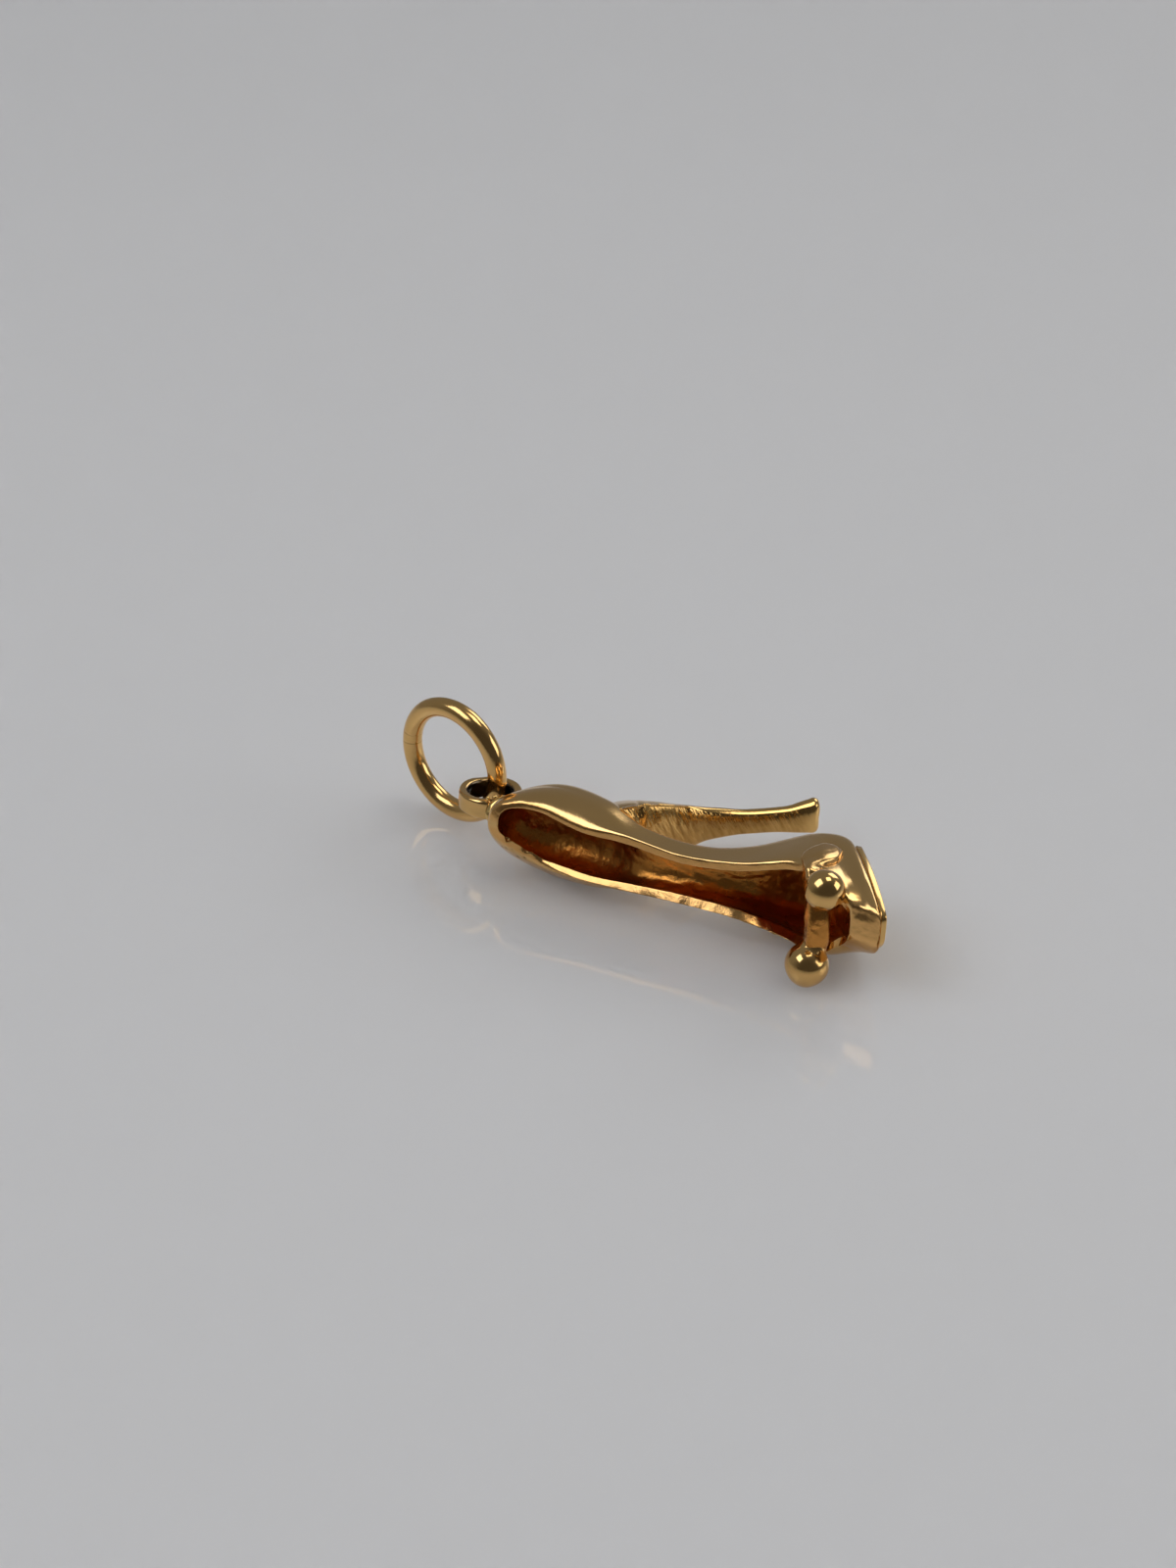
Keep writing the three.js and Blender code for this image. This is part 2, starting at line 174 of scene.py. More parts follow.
def smooth_step(low: float, high: float, value: Number) -> Number:
    """Rises smoothly from 0 at low to 1 at high."""
    share = np.clip((value - low) / (high - low), 0, 1)
    return share * share * (3 - 2 * share)


def soft_floor(value: np.ndarray, floor: float, blend: float) -> np.ndarray:
    """Keeps values above a floor, rounding the corner over the blend's width."""
    share = np.clip(0.5 + 0.5 * (floor - value) / blend, 0, 1)
    return value * (1 - share) + floor * share + blend * share * (1 - share)


def full_turn(count: int) -> np.ndarray:
    """Angles evenly spread over a full turn."""
    return np.arange(count) / count * math.tau


def read_table(table: Table, t: np.ndarray) -> np.ndarray:
    """A table's second column at some places of its first, straight between its rows."""
    return np.interp(t, *np.array(table).T)


def spline(points: Table | np.ndarray, t: np.ndarray) -> np.ndarray:
    """Points on a smooth line through some points.

    Args:
        points: The points that the line passes through, evenly spread over t.
        t: Places on the line, from 0 to 1.

    Returns:
        One row for each place.
    """
    line = np.array(points, float)
    last = len(line) - 1
    place = np.clip(np.asarray(t, float), 0, 1) * last
    i = np.minimum(place.astype(int), last - 1)
    w = (place - i)[..., None]
    p0, p1, p2, p3 = (line[np.clip(i + k, 0, last)] for k in (-1, 0, 1, 2))
    v0, v1 = (p2 - p0) / 2, (p3 - p1) / 2
    cubic, square = 2 * p1 - 2 * p2 + v0 + v1, 3 * p2 - 3 * p1 - 2 * v0 - v1
    return cubic * w**3 + square * w**2 + v0 * w + p1


def rounded(angle: np.ndarray, square: Number) -> tuple[np.ndarray, np.ndarray]:
    """The unit superellipse at an angle.

    Args:
        angle: Angles from the first axis.
        square: How square it is: 2 is round.

    Returns:
        Its two coordinates.
    """
    c, s = np.cos(angle), np.sin(angle)
    reach = (np.abs(c) ** square + np.abs(s) ** square) ** (1 / square)
    return c / reach, s / reach


def corner(start: np.ndarray, peak: np.ndarray, end: np.ndarray, rows: int) -> list[np.ndarray]:
    """Rows of points that round a corner.

    Args:
        start: Where the rounding leaves the first face.
        peak: The sharp corner.
        end: Where the rounding meets the second face.
        rows: How many rows there are, both ends among them.

    Returns:
        The rows.
    """
    shares = np.linspace(0, 1, rows)
    return [(1 - w) ** 2 * start + 2 * w * (1 - w) * peak + w * w * end for w in shares]


def inward_normals(outline: np.ndarray) -> np.ndarray:
    """The normals of a closed flat outline.

    Args:
        outline: Its points, in order.

    Returns:
        For each point, a unit vector towards the inside.
    """
    ahead = np.roll(outline, -1, 0) - np.roll(outline, 1, 0)
    inward = np.stack([ahead[:, 1], -ahead[:, 0]], 1) / np.linalg.norm(ahead, axis=1, keepdims=True)
    return inward * np.sign(((outline.mean(0) - outline) * inward).sum(1, keepdims=True))


def grid_mesh(name: str, points: np.ndarray, close_ends: bool = False) -> bpy.types.Mesh:
    """A skin of quads over rows of points that each run round a closed loop.

    Args:
        name: The mesh's name.
        points: Rows by columns by three.
        close_ends: Whether the first and last rows are filled.

    Returns:
        The mesh, whose doubles are still apart.
    """
    rows, columns, _ = points.shape
    index = np.arange(rows * columns).reshape(rows, columns)
    ahead = np.roll(index, -1, 1)
    quads = np.stack([index[:-1], ahead[:-1], ahead[1:], index[1:]], -1)
    faces = quads.reshape(-1, 4).tolist()
    if close_ends:
        faces += [index[0, ::-1].tolist(), index[-1].tolist()]
    mesh = bpy.data.meshes.new(name)
    mesh.from_pydata(points.reshape(-1, 3).tolist(), [], faces)
    return mesh


@contextmanager
def opened(mesh: bpy.types.Mesh) -> Iterator[bmesh.types.BMesh]:
    """Opens a mesh for bmesh work, and then writes the work back, shaded smooth.

    Args:
        mesh: The mesh that is changed.

    Yields:
        The mesh as a bmesh.
    """
    work = bmesh.new()
    work.from_mesh(mesh)
    yield work
    work.to_mesh(mesh)
    work.free()
    mesh.shade_smooth()


def clean(mesh: bpy.types.Mesh) -> None:
    """Merges a mesh's doubles, drops what they collapse, and points its faces outwards.

    Args:
        mesh: A mesh in millimetres.
    """
    with opened(mesh) as work:
        bmesh.ops.remove_doubles(work, verts=work.verts, dist=MERGE_MM)
        bmesh.ops.dissolve_degenerate(work, edges=work.edges, dist=MERGE_MM / 10)
        bmesh.ops.recalc_face_normals(work, faces=work.faces)


def store(mesh: bpy.types.Mesh, name: str, values: np.ndarray) -> None:
    """Keeps one number for each vertex as an attribute."""
    numbers = values.astype(np.float32).ravel()
    mesh.attributes.new(name, "FLOAT", "POINT").data.foreach_set("value", numbers)


def vectors(rows: bpy.types.bpy_prop_collection, key: str) -> np.ndarray:
    """Reads a vector from each row of a mesh's data.

    Args:
        rows: The mesh's vertices or their normals.
        key: The vector's name.

    Returns:
        One line of three for each row.
    """
    values = np.empty(len(rows) * 3)
    rows.foreach_get(key, values)
    return values.reshape(-1, 3)


def move(mesh: bpy.types.Mesh, points: np.ndarray) -> None:
    """Puts a mesh's vertices at new points."""
    mesh.vertices.foreach_set("co", points.ravel())
    mesh.update()


@dataclass(frozen=True)
class Wave:
    """Smooth noise that makes a skin uneven; the seed shifts it."""

    size_mm: float
    depth_mm: float
    seed: float

    def bend(self, mesh: bpy.types.Mesh, share: Number = 1.0) -> None:
        """Moves each vertex of a mesh along its normal.

        Args:
            mesh: A mesh in millimetres.
            share: How much of the depth it takes, one number or one for each vertex.
        """
        points = vectors(mesh.vertices, "co")
        shift = Vector([self.seed * way for way in SEED_WAY])
        height = np.array([noise.noise(Vector(p) / self.size_mm + shift) for p in points])
        rise = height * (self.depth_mm * share)
        move(mesh, points + vectors(mesh.vertex_normals, "vector") * rise[:, None])


@dataclass(frozen=True)
class Finish:
    """What the finishes share: a named node material that ends in one shader."""

    name: str

    def start(self) -> bpy.types.Material:
        """Starts the material.

        Returns:
            A node material with an empty tree.
        """
        made = bpy.data.materials.new(self.name)
        made.use_nodes = True
        made.node_tree.nodes.clear()
        return made

    def end(self, made: bpy.types.Material, inputs: dict[str, Any], **settings: Any) -> None:
        """Ends the material in its shader.

        Args:
            made: The material.
            inputs: What the shader's sockets get.
            settings: Properties of the shader.
        """
        shader = add_node(made.node_tree, "ShaderNodeBsdfPrincipled", inputs, **settings)
        surface = {"Surface": shader.outputs["BSDF"]}
        add_node(made.node_tree, "ShaderNodeOutputMaterial", surface)


@dataclass(frozen=True)
class PolishedGold(Finish):
    """Yellow gold, 14 carat, polished on a soft wheel.

    It gives a warm mirror, faintly uneven, and grey-brown where polish can't reach: oxide there,
    darkened further as painted shade.
    """

    name: str = "polished_yellow_gold"
    colour: str = "#e6bd7c"
    worn: str = "#dcae68"
    # Grey-brown for the bail's hole: oxide, darkened further as painted shade.
    tarnish_and_shade: str = "#4f4840"
    roughness: Pair = (0.09, 0.18)
    patch_mm: float = 1.4
    patch_range: Pair = (0.3, 0.7)
    hairline_mm: float = 0.09
    hairline_depth_mm: float = 0.004
    hairline_strength: float = 0.35

    def material(self) -> bpy.types.Material:
        """Makes the finish; a mesh's attribute for the bail's hole is 1 where oxide and painted
        shade darken it.

        Returns:
            The material.
        """
        made = self.start()
        tree = made.node_tree
        place = add_node(tree, "ShaderNodeTexCoord").outputs["Object"]
        hole_shade = add_node(tree, "ShaderNodeAttribute", attribute_name="tarnish_and_shade").outputs["Fac"]
        patch = add_node(
            tree,
            "ShaderNodeTexNoise",
            {"Vector": place, "Scale": per_metre(self.patch_mm), "Detail": 3.0},
        )
        colour = add_node(
            tree,
            "ShaderNodeMix",
            {"Factor": patch.outputs["Fac"], MIX_A: linear(self.colour), MIX_B: linear(self.worn)},
            data_type="RGBA",
        )
        # Oxide and painted shade: the marked hole is mixed towards grey-brown.
        toned = add_node(
            tree,
            "ShaderNodeMix",
            {"Factor": hole_shade, MIX_A: colour.outputs[MIX_RESULT], MIX_B: linear(self.tarnish_and_shade)},
            data_type="RGBA",
        )
        gloss = add_node(
            tree,
            "ShaderNodeMapRange",
            {
                "Value": patch.outputs["Fac"],
                "From Min": self.patch_range[0],
                "From Max": self.patch_range[1],
                "To Min": self.roughness[0],
                "To Max": self.roughness[1],
            },
        )
        hairlines = add_node(
            tree,
            "ShaderNodeTexNoise",
            {"Vector": place, "Scale": per_metre(self.hairline_mm), "Detail": 2.0},
        )
        bump = add_node(
            tree,
            "ShaderNodeBump",
            {
                "Height": hairlines.outputs["Fac"],
                "Strength": self.hairline_strength,
                "Distance": self.hairline_depth_mm * MM,
            },
        )
        self.end(
            made,
            {
                "Base Color": toned.outputs[MIX_RESULT],
                "Metallic": 1.0,
                "Roughness": gloss.outputs["Result"],
                "Normal": bump.outputs["Normal"],
            },
        )
        return made


@dataclass(frozen=True)
class CastGold(Finish):
    """Lost-wax cast yellow gold.

    It has a soft buffed shine outside, and is as cast, grainy and less glossy, where no wheel
    reaches.
    The as-cast colour is darker and redder, partly as painted shade for the hollow, and it is also
    laid on the vamp band and the lips as painted shade.
    """

    name: str = "cast_yellow_gold"
    colour: str = "#e2b878"
    # As-cast colour, darker and redder than buffed gold: partly painted shade, and used for painted
    # shade on the band and lips.
    raw_and_shade: str = "#d08c40"
    roughness: Pair = (0.17, 0.28)
    unevenness: float = 0.12
    patch_mm: float = 1.8
    grain_mm: float = 0.16
    grain_depth_mm: float = 0.03
    grain_strength: Pair = (0.06, 0.7)

    def material(self) -> bpy.types.Material:
        """Makes the finish; the mesh's attribute cast is 1 where the skin is as cast, and it also
        lays painted shade.

        Returns:
            The material.
        """
        made = self.start()
        tree = made.node_tree
        place = add_node(tree, "ShaderNodeTexCoord").outputs["Object"]
        raw_and_shade = add_node(tree, "ShaderNodeAttribute", attribute_name="cast").outputs["Fac"]
        # Painted shade: where the attribute marks shade, the mix darkens towards the as-cast
        # colour.
        colour = add_node(
            tree,
            "ShaderNodeMix",
            {"Factor": raw_and_shade, MIX_A: linear(self.colour), MIX_B: linear(self.raw_and_shade)},
            data_type="RGBA",
        )
        gloss, strength = (
            add_node(tree, "ShaderNodeMapRange", {"Value": raw_and_shade, "To Min": buffed, "To Max": cast})
            for buffed, cast in (self.roughness, self.grain_strength)
        )
        patch, grain = (
            add_node(
                tree,
                "ShaderNodeTexNoise",
                {"Vector": place, "Scale": per_metre(size_mm), "Detail": detail},
            )
            for size_mm, detail in ((self.patch_mm, 3.0), (self.grain_mm, 4.0))
        )
        uneven = add_node(
            tree,
            "ShaderNodeMath",
            {0: patch.outputs["Fac"], 1: self.unevenness, 2: -self.unevenness / 2},
            operation="MULTIPLY_ADD",
        )
        total = add_node(
            tree, "ShaderNodeMath", {0: gloss.outputs["Result"], 1: uneven.outputs["Value"]}
        )
        bump = add_node(
            tree,
            "ShaderNodeBump",
            {
                "Height": grain.outputs["Fac"],
                "Strength": strength.outputs["Result"],
                "Distance": self.grain_depth_mm * MM,
            },
        )
        self.end(
            made,
            {
                "Base Color": colour.outputs[MIX_RESULT],
                "Metallic": 1.0,
                "Roughness": total.outputs["Value"],
                "Normal": bump.outputs["Normal"],
            },
        )
        return made


@dataclass(frozen=True)
class FiledGold(Finish):
    """Yellow gold dressed with a fine needle file.

    It gives short bright strokes across a flat that is polished at its edges. They are drawn
    coarser than a needle file's, so that they show. The grooves between them are darkened with
    painted shade.
    """

    name: str = "filed_yellow_gold"
    colour: str = "#e0b570"
    # Painted shade: the grooves between the strokes are mixed towards this colour.
    shade: str = "#8f652c"
    roughness: Pair = (0.14, 0.17)
    stroke_mm: float = 0.18
    stroke_length_mm: float = 1.1
    stroke_depth_mm: float = 0.09
    stroke_strength: Pair = (0.04, 0.9)
    slant_deg: float = -24.0

    def material(self) -> bpy.types.Material:
        """Makes the finish; the mesh's attribute filed is 1 where the file has been.

        Returns:
            The material.
        """
        made = self.start()
        tree = made.node_tree
        place = add_node(tree, "ShaderNodeTexCoord").outputs["Object"]
        filed = add_node(tree, "ShaderNodeAttribute", attribute_name="filed").outputs["Fac"]
        turned = add_node(
            tree,
            "ShaderNodeMapping",
            {"Vector": place, "Rotation": (math.radians(self.slant_deg), 0, 0)},
        )
        across, along = per_metre(self.stroke_mm), per_metre(self.stroke_length_mm)
        stretched = add_node(
            tree,
            "ShaderNodeMapping",
            {"Vector": turned.outputs["Vector"], "Scale": (along, across, along)},
        )
        strokes = add_node(
            tree,
            "ShaderNodeTexNoise",
            {"Vector": stretched.outputs["Vector"], "Scale": 1.0, "Detail": 3.0},
        )
        groove = add_node(
            tree, "ShaderNodeMath", {0: 1.0, 1: strokes.outputs["Fac"]}, operation="SUBTRACT"
        )
        # Painted shade in the strokes' grooves, only where the file has been.
        dark = add_node(
            tree, "ShaderNodeMath", {0: groove.outputs["Value"], 1: filed}, operation="MULTIPLY"
        )
        colour = add_node(
            tree,
            "ShaderNodeMix",
            {
                "Factor": dark.outputs["Value"],
                MIX_A: linear(self.colour),
                MIX_B: linear(self.shade),
            },
            data_type="RGBA",
        )
        gloss, strength = (
            add_node(tree, "ShaderNodeMapRange", {"Value": filed, "To Min": plain, "To Max": cut})
            for plain, cut in (self.roughness, self.stroke_strength)
        )
        bump = add_node(
            tree,
            "ShaderNodeBump",
            {
                "Height": strokes.outputs["Fac"],
                "Strength": strength.outputs["Result"],
                "Distance": self.stroke_depth_mm * MM,
            },
        )
        self.end(
            made,
            {
                "Base Color": colour.outputs[MIX_RESULT],
                "Metallic": 1.0,
                "Roughness": gloss.outputs["Result"],
                "Normal": bump.outputs["Normal"],
            },
        )
        return made


@dataclass(frozen=True)
class GlossyTable(Finish):
    """A pale cast resin table top.

    Light spreads in it and softens shadows, and its clear gloss mirrors the charm faintly.
    """

    name: str = "pale_resin_table"
    colour: str = "#ecebe9"
    roughness: float = 0.05
    spread_mm: float = 7.0

    def material(self) -> bpy.types.Material:
        """Makes the finish.

        Returns:
            The material.
        """
        made = self.start()
        self.end(
            made,
            {
                "Base Color": linear(self.colour),
                "Roughness": self.roughness,
                "Subsurface Weight": 1.0,
                "Subsurface Radius": (1.0, 1.0, 1.0),
                "Subsurface Scale": self.spread_mm * MM,
            },
            subsurface_method="BURLEY",
        )
        return made


@dataclass(frozen=True)
class LaidShoe:
    """How the upright shoe lies on the table, from two flat faces that the record names."""

    heel_tip: Triple = (-0.45, 0.0, 0.0)
    sole: Triple = (9.0, 0.1, 0.0)

    def matrix(self) -> Matrix:
        """Finds how the shoe lies.

        Returns:
            From upright millimetres to the row frame in metres.
        """
        tip, sole = (Vector(mount(name)["pos_m"]) for name in ("heel_tip_face", "sole_face"))
        up = -Vector(mount("sole_face")["axis"]).normalized()
        local = Vector(self.sole) - Vector(self.heel_tip)
        across = up.cross(sole - tip)
        forward = (local.x * (sole - tip) - local.y * across).normalized()
        turn = Matrix((forward, up.cross(forward), up)).transposed()
        origin = tip - turn @ Vector(self.heel_tip) * MM
        return Matrix.Translation(origin) @ turn.to_4x4() @ Matrix.Scale(MM, 4)


@dataclass
class PieceMaker:
    """Puts finished meshes into the scene as pieces of one body with one finish."""

    body: Body
    slot: Slot
    finish: bpy.types.Material

    def show(self, mesh: bpy.types.Mesh, place: Matrix, node: str) -> None:
        """Adds one piece and reports it.

        Args:
            mesh: The piece's mesh, in millimetres.
            place: From those millimetres to the row frame.
            node: The CAD node that it stands for and is named after.
        """
        mesh.transform(place)
        mesh.materials.clear()
        mesh.materials.append(self.finish)
        piece = add_object(node + "_look", mesh)
        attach(piece, self.body.value)
        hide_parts(node)
        triangles = sum(len(face.vertices) - 2 for face in mesh.polygons)
        LOG.info("%s: %d triangles", piece.name, triangles)


@dataclass(frozen=True)
class Columns:
    """Where columns of points stand round the shell, one number for each.

    t runs from the counter to the toe, side is the share of the half width, negative on the right,
    and back and front are shares into the round caps at both ends.
    """

    t: np.ndarray
    side: np.ndarray
    back: np.ndarray
    front: np.ndarray

    def first(self) -> "Columns":
        """The first column alone, at the middle of the counter."""
        return Columns(self.t[:1], self.side[:1], self.back[:1], self.front[:1])


@dataclass(frozen=True)
class ShellLines:
    """The shell's driving lines, upright.

    Rim and keel are rows of [forward, up], and the half widths of [right rim, fullest, left rim].
    Fields that end in span give where along the shoe, or across it, something comes in.
    """

    topline: Table = (
        (0.0, 14.85), (1.1, 12.85), (2.65, 11.05), (3.7, 9.45), (5.35, 7.3),
        (6.7, 5.1), (7.7, 3.3), (8.8, 2.6), (9.8, 2.0), (10.7, 1.35),
    )
    keel: Table = (
        (-1.9, 12.9), (-1.2, 10.8), (0.6, 9.1), (2.6, 8.0), (3.9, 6.1),
        (4.6, 3.9), (4.85, 1.5), (5.95, 0.2), (9.2, 0.15), (11.7, 0.2),
    )
    half_widths: Table = (
        (1.2, 2.05, 1.75), (1.35, 2.12, 1.6), (1.2, 1.92, 1.42), (1.2, 1.45, 1.42),
        (1.08, 1.22, 1.22), (1.2, 1.45, 1.45), (1.62, 2.06, 1.95), (1.75, 2.22, 2.1),
        (1.6, 1.9, 1.75), (1.05, 1.15, 1.05),
    )
    counter_bulge: Pair = (-0.4, 0.45)
    heel_cap: float = 0.15
    toe_cap: float = 0.06
    heel_share: float = 0.28
    toe_share: float = 0.78
    toe_squareness: float = 6.0
    squareness: Pair = (2.4, 6.0)
    squareness_span: Pair = (0.45, 0.75)
    heel_turn: Pair = (0.45, -0.1)
    heel_turn_span: Pair = (0.0, 0.25)
    toe_turn: float = 0.22
    toe_turn_span: Pair = (0.62, 0.95)
    toe_skew: float = 0.9
    toe_skew_span: Pair = (0.8, 1.0)
    toe_rim_share: float = 0.35
    walls: Pair = (0.42, 0.6)
    stout_span: Pair = (0.02, 0.4)
    stout_side_span: Pair = (0.0, 0.8)
    stout_lost_left: float = 0.9

    def columns(self, count: int) -> Columns:
        """Spreads columns all round, from the counter past the toe.

        Args:
            count: How many columns there are, an even number.

        Returns:
            Where they stand.
        """
        index = np.arange(count)
        left = index <= count // 2
        u = np.where(left, index, count - index) / (count / 2)
        straight = 1 - self.heel_cap - self.toe_cap
        t = self.heel_cap + (u - self.heel_share) / (self.toe_share - self.heel_share) * straight
        side, back, front = np.ones(count), np.zeros(count), np.zeros(count)
        heel = u < self.heel_share
        angle = u[heel] / self.heel_share * QUARTER
        t[heel] = self.heel_cap * (1 - np.cos(angle))
        side[heel], back[heel] = np.sin(angle), np.cos(angle)
        toe = u > self.toe_share
        angle = (1 - u[toe]) / (1 - self.toe_share) * QUARTER
        reach, spread = rounded(angle, self.toe_squareness)
        t[toe] = 1 - self.toe_cap * (1 - reach)
        side[toe], front[toe] = spread, reach
        return Columns(t, np.where(left, side, -side), back, front)

    def shift(
        self, t: np.ndarray, side: np.ndarray, level: Number
    ) -> tuple[np.ndarray, np.ndarray]:
        """How the turned ends and the toe's set-back right corner move points.

        Args:
            t: Places along the shoe.
            side: Shares of the half width, negative on the right.
            level: Levels between rim and keel.

        Returns:
            Distances forward and across.
        """
        set_back = smooth_step(*self.toe_skew_span, t) * np.maximum(0, -side) ** 2
        heel = 1 - smooth_step(*self.heel_turn_span, t)
        toe = self.toe_turn * smooth_step(*self.toe_turn_span, t)
        return -self.toe_skew * set_back, toe + heel * np.interp(level, (0, 1), self.heel_turn)

    def wall(self, t: np.ndarray, side: np.ndarray) -> np.ndarray:
        """The wall's thickness: stout round the counter's end and down its right side.

        Args:
            t: Places along the shoe.
            side: Shares of the half width, negative on the right.

        Returns:
            One thickness for each place.
        """
        kept = 1 - self.stout_lost_left * smooth_step(*self.stout_side_span, side)
        return between(self.walls, (1 - smooth_step(*self.stout_span, t)) * kept)

    def length(self, t: np.ndarray) -> np.ndarray:
        """The distance from rim to keel at some places along the shoe."""
        return np.linalg.norm(spline(self.topline, t) - spline(self.keel, t), axis=1)

    def full(self, t: float) -> float:
        """The fullest half width at a place along the shoe."""
        return spline(self.half_widths, np.array(t))[1]

    def ring(self, columns: Columns, level: Number, inside: bool) -> np.ndarray:
        """One ring of points round the shell.

        Args:
            columns: Where its columns stand.
            level: 0 at the rim, 1 where it is fullest and 2 at the keel, one or one a column.
            inside: Whether it runs on the wall's inner skin.

        Returns:
            One point for each column.
        """
        t, side, back, front = columns.t, columns.side, columns.back, columns.front
        level = np.broadcast_to(np.asarray(level, float), t.shape)
        inset = self.wall(t, side * (1 - smooth_step(1, 2, level))) * inside
        top, bottom = spline(self.topline, t), spline(self.keel, t)
        right, full, left = spline(self.half_widths, t).T - inset
        rim = np.where(side > 0, left, right)
        length = self.length(t)
        square = between(self.squareness, smooth_step(*self.squareness_span, t))
        across, down = rounded(np.clip(level - 1, 0, 1) * QUARTER, square)
        low = level > 1
        depth = np.where(low, 0.5 + 0.5 * down, level / 2)
        half = np.where(low, full * across, rim + (full - rim) * (1 - (1 - level) ** 2))
        share = depth * (1 - inset / length)
        place = top + (bottom - top) * share[:, None]
        forward = np.stack([top[:, 1] - bottom[:, 1], bottom[:, 0] - top[:, 0]], 1)
        forward /= length[:, None]
        bulge = np.sin(math.pi * np.clip(share, 0, 1)) * back
        toe_wall = self.toe_rim_share + (1 - self.toe_rim_share) * np.clip(level, 0, 1)
        place += bulge[:, None] * np.array(self.counter_bulge)
        place += forward * (inset * (back - front * toe_wall))[:, None]
        across = np.where(level >= 2, 0, half * side)
        shift, turn = self.shift(t, across / full, level)
        return np.stack([place[:, 0] + shift, across + turn, place[:, 1]], 1)


@dataclass
class ShoeUpper:
    """The cast shell: counter, quarters, footbed, side walls and toe in one casting.

    Edges, falls and the bevel are tables of [place along the shoe, size]. The grain of the as-cast
    skin and of the lip is a least amount and what is added towards the toe. The lips' faces are
    darkened as painted shade. Each pit has a place along the right lip, a row, a radius and a
    depth.
    """

    lines: ShellLines
    bottom: float = 0.3
    bottom_blend: float = 0.12
    footbed: float = 0.72
    footbed_blend: float = 0.2
    column_count: int = 420
    outer_rows: int = 44
    lip_rows: int = 8
    inner_rows: int = 48
    outer_edge: Table = (
        (0.0, 0.2), (0.12, 0.26), (0.3, 0.17), (0.5, 0.11),
        (0.66, 0.16), (0.72, 0.26), (0.82, 0.3), (1.0, 0.1),
    )
    outer_fall: Table = (
        (0.0, 0.25), (0.05, 0.6), (0.16, 0.55), (0.3, 0.2), (0.5, 0.12),
        (0.66, 0.17), (0.71, 0.34), (0.8, 0.44), (0.86, 0.3), (1.0, 0.1),
    )
    bevel: Table = (
        (0.0, 0.0), (0.06, 0.04), (0.12, 0.27), (0.3, 0.29), (0.45, 0.3), (0.55, 0.38),
        (0.65, 0.57), (0.74, 0.66), (0.82, 0.68), (0.88, 0.3), (0.92, 0.0),
    )
    inner_edge: Table = (
        (0.0, 0.12), (0.12, 0.24), (0.3, 0.18), (0.5, 0.12), (0.75, 0.16), (1.0, 0.06),
    )
    outer_seed: float = 0.3
    inner_seed: float = 5.1
    edge_wave: float = 0.3
    edge_wave_columns: int = 9
    outer_edge_share: float = 0.62
    least_lip: float = 0.02
    side_from: float = 0.3
    left_inner_edge: float = 0.09
    right_span: Pair = (0.0, 0.4)
    crisp_bevel: float = 0.7
    crisp_span: Pair = (0.1, 0.2)
    # Painted shade: how much as-cast colour darkens the lips' faces.
    lip_painted_shade: float = 0.4
    raw_toe: float = 0.3
    raw_toe_span: Pair = (0.35, 0.8)
    raw_rows: int = 8
    welt: float = 0.36
    welt_lean: float = 0.07
    wall_lean: Pair = (0.2, 0.7)
    lean_span: Pair = (0.68, 0.8)
    lean_side_span: Pair = (0.5, 0.8)
    raw_grain: Pair = (0.35, 0.65)
    raw_grain_span: Pair = (0.25, 0.6)
    lip_grain: Pair = (0.25, 0.75)
    lip_grain_span: Pair = (0.5, 0.6)
    lip_grain_end: Pair = (0.82, 0.88)
    buff_wave: Wave = Wave(2.2, 0.03, 3.1)
    cast_waves: tuple[Wave, Wave] = (Wave(0.34, 0.05, 1.3), Wave(0.34 / 2.3, 0.05 / 2, 6.2))
    pits: tuple[tuple[float, int, float, float], ...] = (
        (0.062, 11, 0.13, 0.16), (0.095, 10, 0.11, 0.16), (0.1, 1, 0.06, 0.06),
        (0.082, 2, 0.07, 0.07), (0.072, 0, 0.05, 0.06), (0.09, -3, 0.06, 0.05),
        (0.066, -2, 0.05, 0.05), (0.115, 3, 0.05, 0.05),
    )

    def __post_init__(self) -> None:
        """Sets out the shell's columns."""
        self.columns = self.lines.columns(self.column_count)

    def right(self) -> np.ndarray:
        """How far each column is on the right side, from 0 to 1."""
        return smooth_step(*self.right_span, -self.columns.side)

    def edge(self, table: Table, seed: float) -> np.ndarray:
        """The uneven radius that an edge of the lip is rounded to.

        Args:
            table: The even radius along the shoe.
            seed: Shifts the unevenness.

        Returns:
            One radius for each column.
        """
        steps = np.arange(self.column_count) / self.edge_wave_columns
        wave = np.array([noise.noise(Vector((step, seed, 0))) for step in steps])
        return read_table(table, self.columns.t) * (1 + self.edge_wave * wave)

    def skin(self) -> np.ndarray:
        """Lays out the skin.

        Returns:
            Rows of points from the outer keel over the lip to the footbed.
        """
        columns, t, side = self.columns, self.columns.t, self.columns.side
        length = self.lines.length(t)
        drop = 2 * read_table(self.bevel, t) * self.right() / length
        rim = self.lines.ring(columns, 0, False)
        bore = self.lines.ring(columns, drop, True)
        across = bore - rim
        width = np.linalg.norm(across, axis=1)
        across /= width[:, None]

        outer_edge = self.edge(self.outer_edge, self.outer_seed)
        outer_edge = np.minimum(outer_edge, width * self.outer_edge_share)
        inner_edge = self.edge(self.inner_edge, self.inner_seed)
        inner_edge = np.minimum(inner_edge, width - outer_edge - self.least_lip)
        narrow = np.minimum(inner_edge, self.left_inner_edge)
        inner_edge = np.where(side > self.side_from, narrow, inner_edge)
        crisp = 1 - self.crisp_bevel * self.right() * smooth_step(*self.crisp_span, t)
        outer_edge, inner_edge = outer_edge * crisp, inner_edge * crisp

